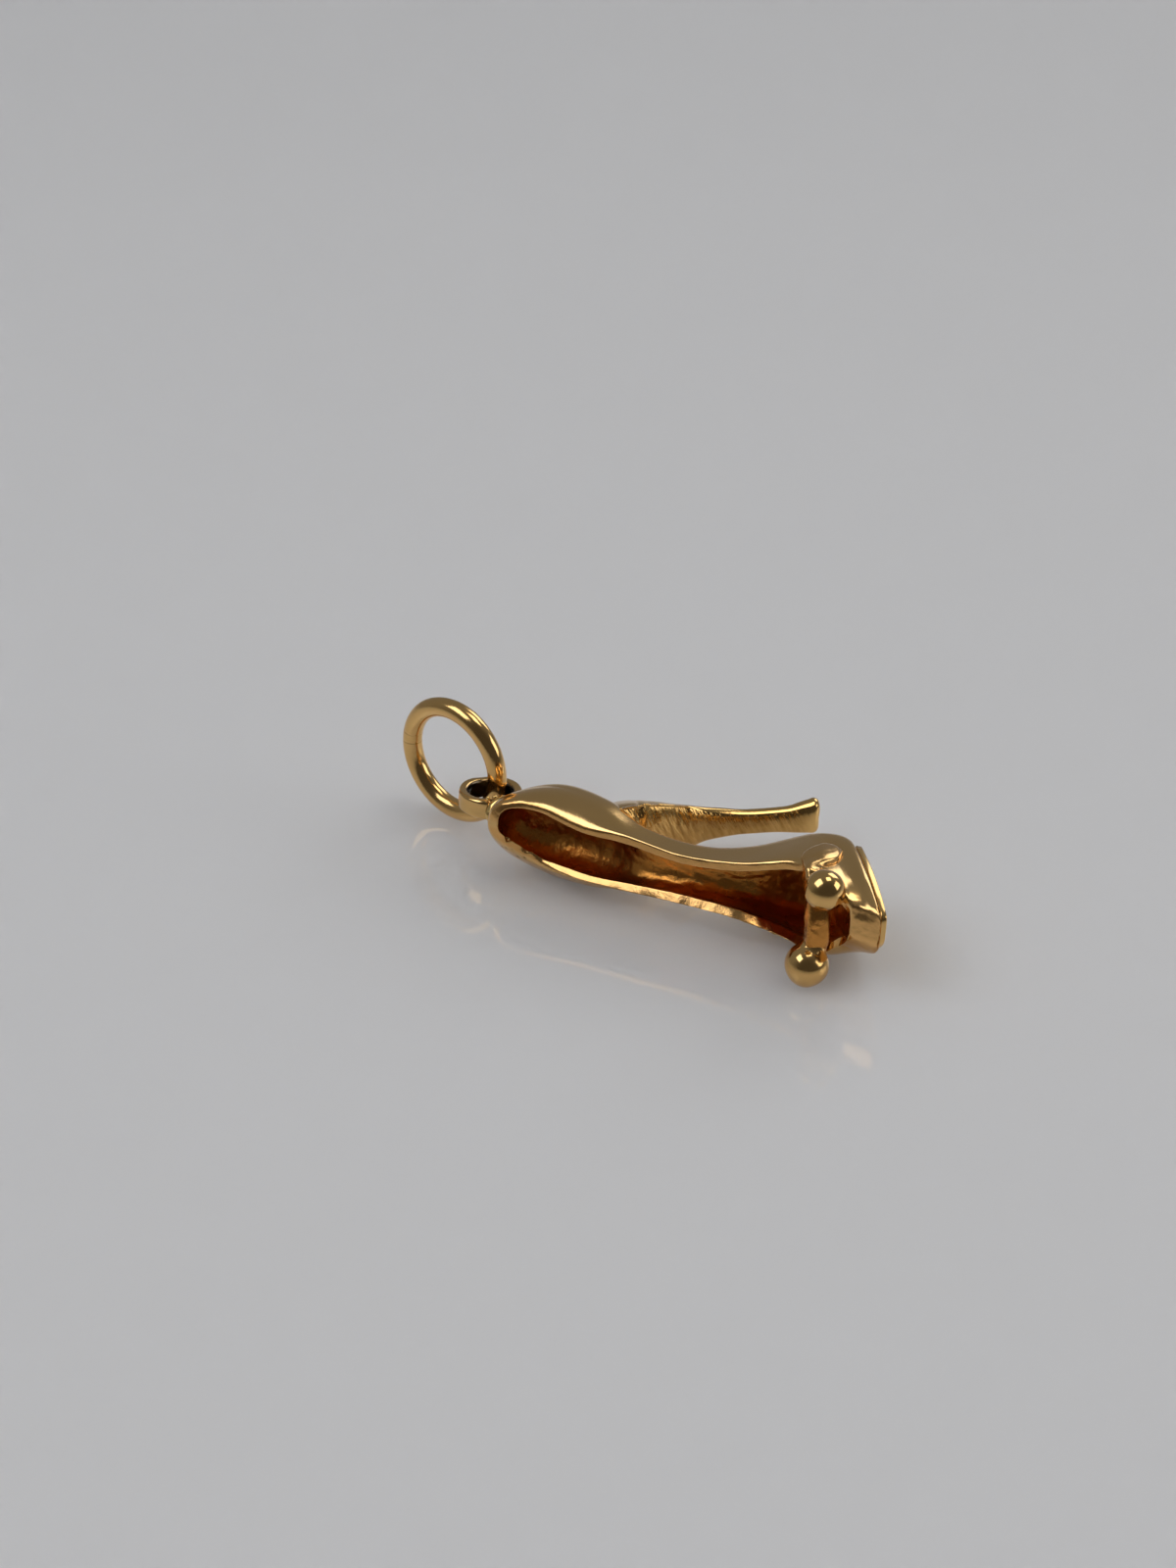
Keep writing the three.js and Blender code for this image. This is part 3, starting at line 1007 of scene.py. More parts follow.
        left = smooth_step(0, self.side_from, side)
        fall = outer_edge * (1 - left) + self.edge(self.outer_fall, self.outer_seed) * left
        outer_level = 2 * fall / length
        inner_level = drop + 2 * inner_edge / length
        outer = [
            self.lines.ring(columns, between((2, outer_level), share), False)
            for share in np.linspace(0, 1, self.outer_rows)
        ]
        inner = [
            self.lines.ring(columns, between((inner_level, 2), share), True)
            for share in np.linspace(0, 1, self.inner_rows)
        ]
        lip = corner(outer[-1], rim, rim + across * outer_edge[:, None], self.lip_rows)[1:]
        lip += corner(bore - across * inner_edge[:, None], bore, inner[0], self.lip_rows)[:-1]

        skin = np.array(outer + lip + inner)
        outside, inside = skin[: self.outer_rows], skin[-self.inner_rows :]
        outside[..., 2] = soft_floor(outside[..., 2], self.bottom, self.bottom_blend)
        inside[..., 2] = soft_floor(inside[..., 2], self.footbed, self.footbed_blend)
        self.lean_toe(outside)
        return skin

    def lean_toe(self, outer: np.ndarray) -> None:
        """Leans the toe's left wall inwards above an upright welt, so that a crease parts them.

        Args:
            outer: The outer rows of points, which are moved.
        """
        inward = inward_normals(self.lines.ring(self.columns, 1, False)[:, :2])
        where = smooth_step(*self.lean_span, self.columns.t)
        where *= smooth_step(*self.lean_side_span, self.columns.side)
        height = outer[..., 2] - self.bottom
        most, reach = self.wall_lean
        lean = np.clip(height / self.welt, 0, 1) * self.welt_lean
        lean += np.clip((height - self.welt) / reach, 0, 1) * most
        fade = np.linspace(2, 0, self.outer_rows).clip(0, 1)[:, None]
        outer[..., :2] += inward * (lean * where * fade)[..., None]

    def rawness_and_shade(self) -> np.ndarray:
        """How far the skin takes the as-cast colour: as cast inside and at the toe's front, and on
        the lips as painted shade.

        Returns:
            One number for each point of the skin.
        """
        rows = self.outer_rows + 2 * self.lip_rows - 2 + self.inner_rows
        raw_and_shade = np.zeros((rows, self.column_count))
        raw_and_shade[-self.inner_rows :] = smooth_step(0, self.raw_rows, np.arange(self.inner_rows))[:, None]
        raw_and_shade[: self.outer_rows] = self.raw_toe * smooth_step(*self.raw_toe_span, self.columns.front)
        lip = slice(self.outer_rows + self.lip_rows // 2, -self.inner_rows)
        # Painted shade on the lips, fading out towards the counter's and the toe's ends.
        raw_and_shade[lip] = self.lip_painted_shade * smooth_step(0, self.side_from, np.abs(self.columns.side))
        return raw_and_shade

    def graininess(self) -> np.ndarray:
        """How grainy the skin is: where it is as cast, on the lips along with their painted shade,
        and on the right lip towards the toe.

        Returns:
            One number for each point of the skin.
        """
        t = self.columns.t
        least, more = self.raw_grain
        grain = self.rawness_and_shade() * (least + more * smooth_step(*self.raw_grain_span, t))
        least, more = self.lip_grain
        near_toe = least + more * smooth_step(*self.lip_grain_span, t)
        near_toe *= 1 - smooth_step(*self.lip_grain_end, t)
        inner = grain[self.outer_rows :]
        inner += near_toe * self.right() * (1 - inner)
        return grain

    def mesh(self) -> bpy.types.Mesh:
        """Makes the shell.

        Returns:
            The mesh, upright and in millimetres, with the attribute cast where it is as cast and
            where the lips take painted shade.
        """
        skin = self.skin()
        mesh = grid_mesh("shoe_upper", skin)
        store(mesh, "cast", self.rawness_and_shade())
        store(mesh, "grain", self.graininess())
        clean(mesh)
        grain = np.empty(len(mesh.vertices))
        mesh.attributes["grain"].data.foreach_get("value", grain)
        self.buff_wave.bend(mesh)
        for wave in self.cast_waves:
            wave.bend(mesh, grain)
        self.pit(mesh, skin)
        return mesh

    def pit(self, mesh: bpy.types.Mesh, skin: np.ndarray) -> None:
        """Sinks casting pits into the lower lip of the counter.

        Args:
            mesh: The shell's mesh.
            skin: The rows of points that it was made from.
        """
        points = vectors(mesh.vertices, "co")
        normals = vectors(mesh.vertex_normals, "vector")
        for turn, row, radius, depth in self.pits:
            middle = skin[self.outer_rows + row, int(self.column_count * (1 - turn))]
            distance = np.linalg.norm(points - middle, axis=1)
            points -= normals * (depth * np.exp(-((distance / radius) ** 2)))[:, None]
        move(mesh, points)


@dataclass
class StilettoHeel:
    """The solid heel: round at the back, filed flat at the breast, flared at the tip.

    Sections are rows of [height, back, breast, half width]. Pairs of shares are the shaft's and the
    root's. Round a section, turn is 0 at mid-breast, 1 where it is fullest and 2 at mid-back. The
    bead beside the seam has a height as a share of the seam's depth, and a place and a width in
    gaps.
    """

    sections: Table = (
        (0.0, -1.1, 0.05, 0.88), (0.5, -0.95, 0.12, 0.78), (1.5, -0.62, 0.26, 0.63),
        (3.4, -0.42, 0.36, 0.57), (5.2, -0.55, 0.5, 0.8), (6.6, -0.85, 0.9, 1.22),
        (8.0, -1.2, 1.6, 1.6), (9.2, -1.35, 2.1, 1.7), (10.3, -1.0, 2.3, 1.3),
    )
    side: float = 0.1
    breast_share: Pair = (0.8, 0.96)
    crown: float = 0.2
    edge_turn: float = 0.5
    edge_blend: float = 0.02
    back_squareness: Pair = (2.0, 1.5)
    fullest: Pair = (0.55, 0.92)
    root: Pair = (4.0, 7.0)
    breast_columns: int = 14
    side_columns: int = 12
    back_columns: int = 28
    tip_edge: float = 0.34
    edge_rows: int = 10
    rows: int = 220
    sink: float = 0.12
    sink_steps: int = 160
    cap_shares: tuple[float, ...] = (0.9, 0.75, 0.6, 0.45, 0.3, 0.15, 0.02)
    fillet: float = 0.14
    fillet_reach: float = 0.5
    fillet_blend: float = 0.1
    seam_up: float = 8.45
    seam_gap: float = 0.11
    seam_depth: float = 0.17
    seam_spread: float = 0.5
    seam_wander: float = 0.12
    seam_wander_turn: float = 3.0
    seam_seed: float = 4.2
    bead: Triple = (0.6, 2.2, 1.6)
    filed_blend: float = 0.05
    filed_span: Pair = (0.2, 1.2)
    wave: Wave = Wave(1.1, 0.03, 4.7)

    def turns(self) -> np.ndarray:
        """Spreads columns round the section, close together at the breast's edges.

        Returns:
            The turn of each column, negative on the right side.
        """
        breast = np.linspace(0, self.edge_turn - self.edge_blend, self.breast_columns)
        side = np.linspace(self.edge_turn + self.edge_blend, 1, self.side_columns)
        back = np.linspace(1, 2, self.back_columns)[1:]
        left = np.concatenate([breast, [self.edge_turn], side, back])
        return np.concatenate([left, -left[-2:0:-1]])

    def on_breast(self, turn: float, blend: float) -> float:
        """1 on the breast and 0 off it, with a soft change over the blend on both sides."""
        return 1 - smooth_step(self.edge_turn - blend, self.edge_turn + blend, abs(turn))

    def line(self, up: np.ndarray, turn: float, share: float = 1.0) -> np.ndarray:
        """Points of the heel at some heights along one place round it.

        Args:
            up: Heights above the tip.
            turn: The place round the section, negative on the right side.
            share: How far out from the middle: 1 on the skin.

        Returns:
            One point for each height.
        """
        table = np.array(self.sections)
        heights = table[:, 0]
        last = len(heights) - 1
        low = np.clip(np.searchsorted(heights, up, side="right") - 1, 0, last - 1)
        above = np.clip((up - heights[low]) / (heights[low + 1] - heights[low]), 0, 1)
        back, breast, half = spline(table[:, 1:], (low + above) / last).T
        risen = smooth_step(*self.root, up)
        middle = back + (breast - back) * between(self.fullest, risen)
        flat = half * between(self.breast_share, risen)
        away = abs(turn)
        if away <= self.edge_turn:
            forward = breast - self.crown * flat * (away / self.edge_turn) ** 3
            across = flat * away / self.edge_turn
        elif away < 1:
            ahead = (1 - away) / (1 - self.edge_turn)
            forward = middle + (breast - self.crown * flat - middle) * ahead
            across = half + (flat - half) * ahead**2
        else:
            square = between(self.back_squareness, risen)
            c, s = rounded(np.full_like(up, (away - 1) * QUARTER), square)
            forward, across = middle + (back - middle) * s, half * c
        across = math.copysign(1, turn) * across
        return np.stack([middle + (forward - middle) * share, self.side + across * share, up], 1)

    def meets(self, shell: BVHTree, turn: float, share: float = 1.0) -> float:
        """Finds where a line of the heel has sunk into the shell.

        Args:
            shell: The shell's skin.
            turn: The line's place round the section.
            share: How far out from the middle the line is.

        Returns:
            The height.
        """
        highest = self.sections[-1][0]
        for point in self.line(np.linspace(self.root[0], highest, self.sink_steps), turn, share):
            spot, normal, _, depth = shell.find_nearest(Vector(point))
            if depth > self.sink and (Vector(point) - spot).dot(normal) < 0:
                return float(point[2])
        return highest

    def growth(self, up: np.ndarray, top: float, turn: float) -> np.ndarray:
        """How far the skin is moved out by the rounded tip, the fillet, the seam and its bead.

        Args:
            up: Heights above the tip, the tip's rounding first.
            top: The height at which the heel meets the shell.
            turn: The place round the section.

        Returns:
            One distance for each height.
        """
        grow = np.zeros_like(up)
        bends = np.linspace(0, QUARTER, self.edge_rows)
        grow[: self.edge_rows] = -self.tip_edge * (1 - np.sin(bends))
        near_top = np.clip(1 - (top - up) / self.fillet_reach, 0, 1)
        grow += self.fillet * self.on_breast(turn, self.fillet_blend) * near_top**2
        swing = noise.noise(Vector((turn * self.seam_wander_turn, 0, self.seam_seed)))
        above = up - self.seam_up - self.seam_wander * swing
        cut = self.seam_depth * math.exp(-(((turn - self.edge_turn) / self.seam_spread) ** 2))
        grow -= cut * np.exp(-((above / self.seam_gap) ** 2))
        height, below, width = self.bead
        beside = (above + below * self.seam_gap) / (width * self.seam_gap)
        grow += height * cut * np.exp(-(beside**2))
        return grow

    def mesh(self, shell: BVHTree) -> bpy.types.Mesh:
        """Makes the heel.

        Args:
            shell: The shell's skin, which the heel runs into.

        Returns:
            The mesh, upright and in millimetres, with the attribute filed on the breast.
        """
        bends = np.linspace(0, QUARTER, self.edge_rows)
        lines, filed = [], []
        for turn in self.turns():
            top = self.meets(shell, turn)
            shaft = np.linspace(self.tip_edge, top, self.rows)[1:]
            up = np.concatenate([self.tip_edge * (1 - np.cos(bends)), shaft])
            points = self.line(up, turn)
            outward = points - self.line(up, turn, 0.0)
            outward /= np.linalg.norm(outward, axis=1, keepdims=True)
            points += outward * self.growth(up, top, turn)[:, None]
            caps = [
                self.line(np.array([self.meets(shell, turn, share)]), turn, share)
                for share in self.cap_shares
            ]
            lines.append(np.concatenate([points, *caps]))
            flat = self.on_breast(turn, self.filed_blend) * smooth_step(*self.filed_span, up)
            filed.append(np.concatenate([flat, np.zeros(len(caps))]))
        mesh = grid_mesh("stiletto_heel", np.array(lines).transpose(1, 0, 2), close_ends=True)
        store(mesh, "filed", np.array(filed).T)
        clean(mesh)
        self.wave.bend(mesh)
        return mesh


@dataclass
class SolePlate:
    """The thin plate under the forefoot, its edges rubbed round."""

    lines: ShellLines
    start: float = 0.81
    thickness: float = 0.26
    edge: float = 0.045
    edge_rows: int = 6
    undercut: float = 0.055
    set_in: float = 0.16
    column_count: int = 420
    back_points: int = 40
    under_shares: tuple[float, ...] = (0.02, 0.35, 0.7, 0.9)
    top_share: float = 0.02
    filed_rings: int = 5
    filed: float = 0.6
    wave: Wave = Wave(1.5, 0.025, 9.3)

    def outline(self) -> np.ndarray:
        """Draws the plate's outline.

        Returns:
            Points along the toe, closed by a straight back edge.
        """
        columns = self.lines.columns(self.column_count)
        kept = columns.t >= self.start
        t, side, end = columns.t[kept], columns.side[kept], columns.front[kept]
        shift, turn = self.lines.shift(t, side, 2)
        half = spline(self.lines.half_widths, t)[:, 1] - self.set_in
        forward = spline(self.lines.keel, t)[:, 0] - self.set_in * end
        front = np.stack([forward + shift, half * side + turn], 1)
        back = np.linspace(front[-1], front[0], self.back_points)[1:-1]
        return np.concatenate([front, back])

    def mesh(self) -> bpy.types.Mesh:
        """Makes the plate.

        Returns:
            The mesh, upright and in millimetres, with the attribute filed underneath.
        """
        outline = self.outline()
        inward = inward_normals(outline)
        centre = outline.mean(0)
        spread = outline + inward * self.edge - centre
        rings = [(centre + spread * share, 0.0) for share in self.under_shares]
        for start, middle in ((-0.5, self.edge), (0.0, self.thickness - self.edge)):
            for angle in np.linspace(start, start + 0.5, self.edge_rows) * math.pi:
                up = middle + self.edge * math.sin(angle)
                back = self.edge * (1 - math.cos(angle))
                back += self.undercut * (1 - up / self.thickness)
                rings.append((outline + inward * back, up))
        rings.append((centre + spread * self.top_share, self.thickness))
        points = [np.column_stack([flat, np.full(len(flat), up)]) for flat, up in rings]
        mesh = grid_mesh("sole_plate", np.array(points), close_ends=True)
        filed = (np.arange(len(rings)) < self.filed_rings) * self.filed
        store(mesh, "filed", np.repeat(filed, len(outline)))
        clean(mesh)
        self.wave.bend(mesh)
        return mesh


@dataclass
class VampBand:
    """The strip that is bent over the rims between the foot opening and the open toe.

    Its middle and both ends have a place forward, a height, a width and a thickness. It takes the
    as-cast colour as painted shade, most in its middle.
    """

    lines: ShellLines
    middle: tuple[float, ...] = (9.85, 2.45, 0.9, 1.0)
    left_end: tuple[float, ...] = (7.5, 1.05, 1.6, 0.45)
    right_end: tuple[float, ...] = (8.7, 1.75, 1.3, 0.36)
    left_span: float = 1.03
    right_span: float = 0.94
    shoulder_span: float = 0.97
    shoulder_rise: float = 0.2
    end_tilt_deg: float = 78.0
    station: float = 0.8
    shoulder: float = 0.72
    rows: int = 120
    around: int = 48
    squareness: float = 4.0
    taper_from: float = 0.93
    taper_length: float = 0.07
    least_taper: float = 0.02
    # Painted shade: as-cast colour laid along the band, more towards its middle.
    end_painted_shade: float = 0.15
    middle_painted_shade: float = 0.75
    painted_shade_span: Pair = (0.3, 0.6)
    waves: tuple[Wave, Wave] = (Wave(0.7, 0.06, 2.6), Wave(0.7 / 3, 0.06 / 3, 5.9))

    def at(self, s: float) -> tuple[np.ndarray, float, float, float]:
        """The band's centre, tilt, width and thickness at a place.

        Args:
            s: -1 at the right end, 0 in the middle and 1 at the left end.

        Returns:
            The centre, upright in millimetres, the tilt in radians, the width and the thickness.
        """
        end, ease = self.left_end, self.left_span
        if s <= 0:
            end, ease = self.right_end, self.right_span
        share = 1 - s * s
        drop = max(0.0, (abs(s) - self.shoulder) / (1 - self.shoulder))
        span = self.lines.full(self.station) * ease
        across = span * math.copysign(min(1, abs(s) * self.shoulder_span / self.shoulder), s)
        forward, _, width, thickness = (between(ends, share) for ends in zip(end, self.middle))
        level = self.middle[1] + self.shoulder_rise * (1 - share)
        up = level + (end[1] - level) * drop * drop
        tilt = math.copysign(drop * math.radians(self.end_tilt_deg), s)
        return np.array([forward, across, up]), tilt, width, thickness

    def mesh(self) -> bpy.types.Mesh:
        """Makes the band.

        Returns:
            The mesh, upright and in millimetres, with the attribute cast as painted shade, most in
            the middle.
        """
        c, q = rounded(full_turn(self.around), self.squareness)
        places = np.linspace(-1, 1, self.rows)
        rows = []
        for s in places:
            centre, tilt, width, thickness = self.at(s)
            past = max(0, (abs(s) - self.taper_from) / self.taper_length)
            taper = math.sqrt(max(self.least_taper, 1 - past**2))
            along, lift = width / 2 * c * taper, thickness / 2 * q * taper
            rows.append(centre + np.stack([along, lift * math.sin(tilt), lift * math.cos(tilt)], 1))
        mesh = grid_mesh("vamp_band", np.array(rows), close_ends=True)
        # Painted shade: darkest in the band's middle, lighter at its ends.
        near_middle = 1 - smooth_step(*self.painted_shade_span, np.abs(places))
        raw_and_shade = self.end_painted_shade + self.middle_painted_shade * near_middle
        store(mesh, "cast", np.repeat(raw_and_shade, self.around))
        clean(mesh)
        for wave in self.waves:
            wave.bend(mesh)
        return mesh


@dataclass
class BowKnob:
    """A ball drawn out into a short neck where it is soldered on the band."""

    band: VampBand
    side: Side
    centre: Triple
    radius: float
    neck: float
    foot: float
    root: float = 0.85
    neck_rows: int = 14
    neck_curve: float = 1.6
    pole: float = 0.001
    rows: int = 60
    around: int = 72
    wave_mm: Pair = (1.0, 0.05)
    wave_seed: float = 3.7

    def node(self) -> str:
        """The name of the knob's CAD node."""
        return f"bow_knob_{self.side.name.lower()}"

    def mesh(self) -> bpy.types.Mesh:
        """Makes the knob.

        Returns:
            The mesh, upright and in millimetres.
        """
        full = self.band.lines.full(self.band.station)
        foot = self.band.at(self.side.value * self.root * self.band.shoulder / full)[0]
        axis = np.array(self.centre) - foot
        reach = np.linalg.norm(axis)
        join = math.asin(self.neck / self.radius)
        neck_height = reach - self.radius * math.cos(join)
        profile = [(self.pole, 0.0)]
        for share in np.linspace(0, 1, self.neck_rows):
            wide = between((self.foot, self.neck), share**self.neck_curve)
            profile.append((wide, share * neck_height))
        for angle in np.linspace(join, math.pi, self.rows)[1:]:
            wide = max(self.radius * math.sin(angle), self.pole)
            profile.append((wide, reach - self.radius * math.cos(angle)))
        c, s = np.cos(full_turn(self.around)), np.sin(full_turn(self.around))
        rings = [np.stack([r * c, r * s, np.full(self.around, h)], 1) for r, h in profile]
        mesh = grid_mesh(self.node(), np.array(rings), close_ends=True)
        turn = Vector((0, 0, 1)).rotation_difference(Vector(axis)).to_matrix().to_4x4()
        mesh.transform(Matrix.Translation(Vector(foot)) @ turn)
        clean(mesh)
        Wave(*self.wave_mm, self.wave_seed + self.side.value).bend(mesh)
        return mesh


@dataclass
class ShapeTree:
    """A geometry tree with a named input for each size, which gives one plain mesh."""

    name: str
    sizes: dict[str, float]
    finish: bpy.types.Material

    def __post_init__(self) -> None:
        """Starts the tree with its inputs and its output."""
        self.tree = bpy.data.node_groups.new(self.name, "GeometryNodeTree")
        sockets = self.tree.interface
        for label, value in self.sizes.items():
            socket = sockets.new_socket(label, in_out="INPUT", socket_type="NodeSocketFloat")
            socket.default_value = value
        sockets.new_socket("Geometry", in_out="OUTPUT", socket_type="NodeSocketGeometry")
        self.given = add_node(self.tree, "NodeGroupInput").outputs

    def sweep(self, path: bpy.types.Node, section: bpy.types.Node, **inputs: Any) -> None:
        """Ends the tree in a section swept along a path, realised, smooth and painted.

        Args:
            path: The node that makes the path.
            section: The node that makes the section.
            inputs: What other sockets of the sweep get.
        """
        curves = {"Curve": path.outputs["Curve"], "Profile Curve": section.outputs["Curve"]}
        last = add_node(self.tree, "GeometryNodeCurveToMesh", {**curves, **inputs}).outputs["Mesh"]
        steps = (
            ("GeometryNodeRealizeInstances", {}),
            ("GeometryNodeSetShadeSmooth", {}),
            ("GeometryNodeSetMaterial", {"Material": self.finish}),
        )
        for kind, more in steps:
            last = add_node(self.tree, kind, {"Geometry": last, **more}).outputs["Geometry"]
        add_node(self.tree, "NodeGroupOutput", {"Geometry": last})

    def mesh(self) -> bpy.types.Mesh:
        """Runs the tree.

        Returns:
            Its result as a clean plain mesh.
        """
        host = add_object(self.name, bpy.data.meshes.new(self.name + "_seed"))
        modifier = host.modifiers.new(self.name, "NODES")
        modifier.node_group = self.tree
        for item in self.tree.interface.items_tree:
            if item.in_out == "INPUT":
                modifier[item.identifier] = self.sizes[item.name]
        graph = bpy.context.evaluated_depsgraph_get()
        mesh = bpy.data.meshes.new_from_object(host.evaluated_get(graph), depsgraph=graph)
        host.modifiers.remove(modifier)
        bpy.data.objects.remove(host)
        clean(mesh)
        return mesh


@dataclass
class JumpRing:
    """The round wire ring, butted and soldered: two fine lines cross the wire at the joint."""

    wire: float = 0.88
    seam_deg: float = 171.0
    seam_gap_deg: float = 11.0
    seam_width_deg: float = 0.9
    seam_depth: float = 0.05
    steps_round_ring: int = 480
    steps_round_wire: int = 40
    wave: Wave = Wave(2.4, 0.03, 7.7)

    def sizes(self) -> dict[str, float]:
        """Works out the tree's inputs, with the ring's radius from the frame.

        Returns:
            Each input's value: millimetres, and shares of the ring's length for the seam's places.
        """
        low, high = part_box("jump_ring")
        return {
            "Ring Radius": (high.z - low.z) / MM / 2 - self.wire / 2,
            "Wire Radius": self.wire / 2,
            "Seam Place": self.seam_deg / 360,
            "Seam Gap": self.seam_gap_deg / 720,
            "Seam Width": self.seam_width_deg / 360,
            "Seam Depth": self.seam_depth,
        }

    def mesh(self, finish: bpy.types.Material) -> bpy.types.Mesh:
        """Sweeps a wire round a circle, necked at the seam.

        Args:
            finish: The ring's material.

        Returns:
            The mesh in the ring's own plane, in millimetres.
        """
        shape = ShapeTree("jump_ring_wire", self.sizes(), finish)
        tree, given = shape.tree, shape.given
        path, section = (
            add_node(
                tree,
                "GeometryNodeCurvePrimitiveCircle",
                {"Resolution": steps, "Radius": given[radius]},
            )
            for steps, radius in (
                (self.steps_round_ring, "Ring Radius"),
                (self.steps_round_wire, "Wire Radius"),
            )
        )
        away = add_node(tree, "GeometryNodeSplineParameter").outputs["Factor"]
        for middle in (given["Seam Place"], given["Seam Gap"]):
            offset = add_node(tree, "ShaderNodeMath", {0: away, 1: middle}, operation="SUBTRACT")
            apart = add_node(
                tree, "ShaderNodeMath", {0: offset.outputs["Value"]}, operation="ABSOLUTE"
            )
            away = apart.outputs["Value"]
        dip = add_node(
            tree,
            "ShaderNodeMapRange",
            {
                "Value": away,
                "From Max": given["Seam Width"],
                "To Min": given["Seam Depth"],
                "To Max": 0.0,
            },
            interpolation_type="SMOOTHSTEP",
        )
        scale = add_node(
            tree, "ShaderNodeMath", {0: 1.0, 1: dip.outputs["Result"]}, operation="SUBTRACT"
        )
        shape.sweep(path, section, Scale=scale.outputs["Value"])
        mesh = shape.mesh()
        self.wave.bend(mesh)
        return mesh

    def place(self) -> Matrix:
        """Finds where the ring hangs.

        Returns:
            From the ring's own plane to the row frame.
        """
        low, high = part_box("jump_ring")
        normal = Vector(mount("ring_eye")["axis"]).normalized()
        up = Vector((0, 0, 1))
        turn = Matrix((normal.cross(up), up, -normal)).transposed()
        return Matrix.Translation((low + high) / 2) @ turn.to_4x4() @ Matrix.Scale(MM, 4)


@dataclass
class Bail:
    """The flat-sided loop on the counter, and the solder that runs up to it.

    Each bead of solder has a radius and a place as shares of the solder's size.
    """

    lines: ShellLines
    outer: float = 2.85
    hole: float = 1.95
    height: float = 0.9
    edge: float = 0.16
    edge_steps: int = 6
    loop_steps: int = 160
    longest_edge: float = 0.2
    edge_cuts: int = 5
    level: float = 1.24
    level_step: float = 0.1
    side: float = 0.3
    tarnish_and_shade_reach: Pair = (0.01, 0.14)
    loop_wave: Wave = Wave(0.9, 0.07, 2.2)
    solder_size: Triple = (0.44, 0.72, 0.95)
    solder_out: float = 0.06
    solder_rounds: int = 6
    beads: tuple[Triple, ...] = ((0.13, 0.8, 0.35), (0.11, 0.85, 0.75), (0.1, -0.6, 0.5))
    bead_out: float = 0.3
    bead_rounds: int = 4
    solder_wave: Wave = Wave(0.5, 0.1, 4.4)

    def loop_mesh(self, finish: bpy.types.Material) -> bpy.types.Mesh:
        """Sweeps a rounded bar round a circle.

        Args:
            finish: The loop's material.

        Returns:
            The mesh about its own Z, in millimetres, with an attribute in its hole for oxide and
            painted shade.
        """
        sizes = {
            "Loop Radius": (self.outer + self.hole) / 4,
            "Bar Width": (self.outer - self.hole) / 2,
            "Bar Height": self.height,
            "Edge Radius": self.edge,
        }
        shape = ShapeTree("bail_bar", sizes, finish)
        tree, given = shape.tree, shape.given
        path = add_node(
            tree,
            "GeometryNodeCurvePrimitiveCircle",
            {"Resolution": self.loop_steps, "Radius": given["Loop Radius"]},
        )
        bar = add_node(
            tree,
            "GeometryNodeCurvePrimitiveQuadrilateral",
            {"Width": given["Bar Width"], "Height": given["Bar Height"]},
        )
        soft = add_node(
            tree,
            "GeometryNodeFilletCurve",
            {
                "Curve": bar.outputs["Curve"],
                "Count": self.edge_steps,
                "Radius": given["Edge Radius"],
            },
            mode="POLY",
        )
        shape.sweep(path, soft)
        mesh = shape.mesh()
        with opened(mesh) as work:
            long_edges = [edge for edge in work.edges if edge.calc_length() > self.longest_edge]
            bmesh.ops.subdivide_edges(
                work, edges=long_edges, cuts=self.edge_cuts, use_grid_fill=True
            )
        # Oxide and painted shade darken the hole's inside.
        reach = np.linalg.norm(vectors(mesh.vertices, "co")[:, :2], axis=1) - self.hole / 2
        store(mesh, "tarnish_and_shade", 1 - smooth_step(*self.tarnish_and_shade_reach, reach))
        self.loop_wave.bend(mesh)
        return mesh

    def place(self, laid: Matrix) -> Matrix:
        """Finds where the loop sits, along the shoe's width.

        Args:
            laid: How the shoe lies.

        Returns:
            From the loop's own axis to the row frame.
        """
        low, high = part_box("bail_loop")
        turn = laid.to_quaternion().to_matrix().to_4x4() @ Matrix.Rotation(-QUARTER, 4, "X")
        return Matrix.Translation((low + high) / 2) @ turn @ Matrix.Scale(MM, 4)

    def solder_mesh(self) -> bpy.types.Mesh:
        """Makes the solder: a flowed fillet with beads where it gathered.

        Returns:
            The mesh, upright and in millimetres.
        """
        column = self.lines.columns(2).first()
        seat, above, below = (
            self.lines.ring(column, self.level + step, False)[0]
            for step in (0, -self.level_step, self.level_step)
        )
        seat[1] += self.side
        rise = Vector(above - below).normalized()
        out = Vector((-rise.z, 0, rise.x))
        turn = Matrix((out, Vector((0, 1, 0)), rise)).transposed().to_4x4()
        mesh = bpy.data.meshes.new("bail_solder")
        with opened(mesh) as work:
            made = bmesh.ops.create_icosphere(work, subdivisions=self.solder_rounds, radius=1)
            bmesh.ops.scale(work, vec=self.solder_size, verts=made["verts"])
            bmesh.ops.translate(work, vec=(self.solder_out, 0, 0), verts=made["verts"])
            _, wide, tall = self.solder_size
            for radius, across, up in self.beads:
                made = bmesh.ops.create_icosphere(
                    work, subdivisions=self.bead_rounds, radius=radius
                )
                way = (self.bead_out, across * wide, up * tall)
                bmesh.ops.translate(work, vec=way, verts=made["verts"])
        mesh.transform(Matrix.Translation(Vector(seat)) @ turn)
        self.solder_wave.bend(mesh)
        return mesh


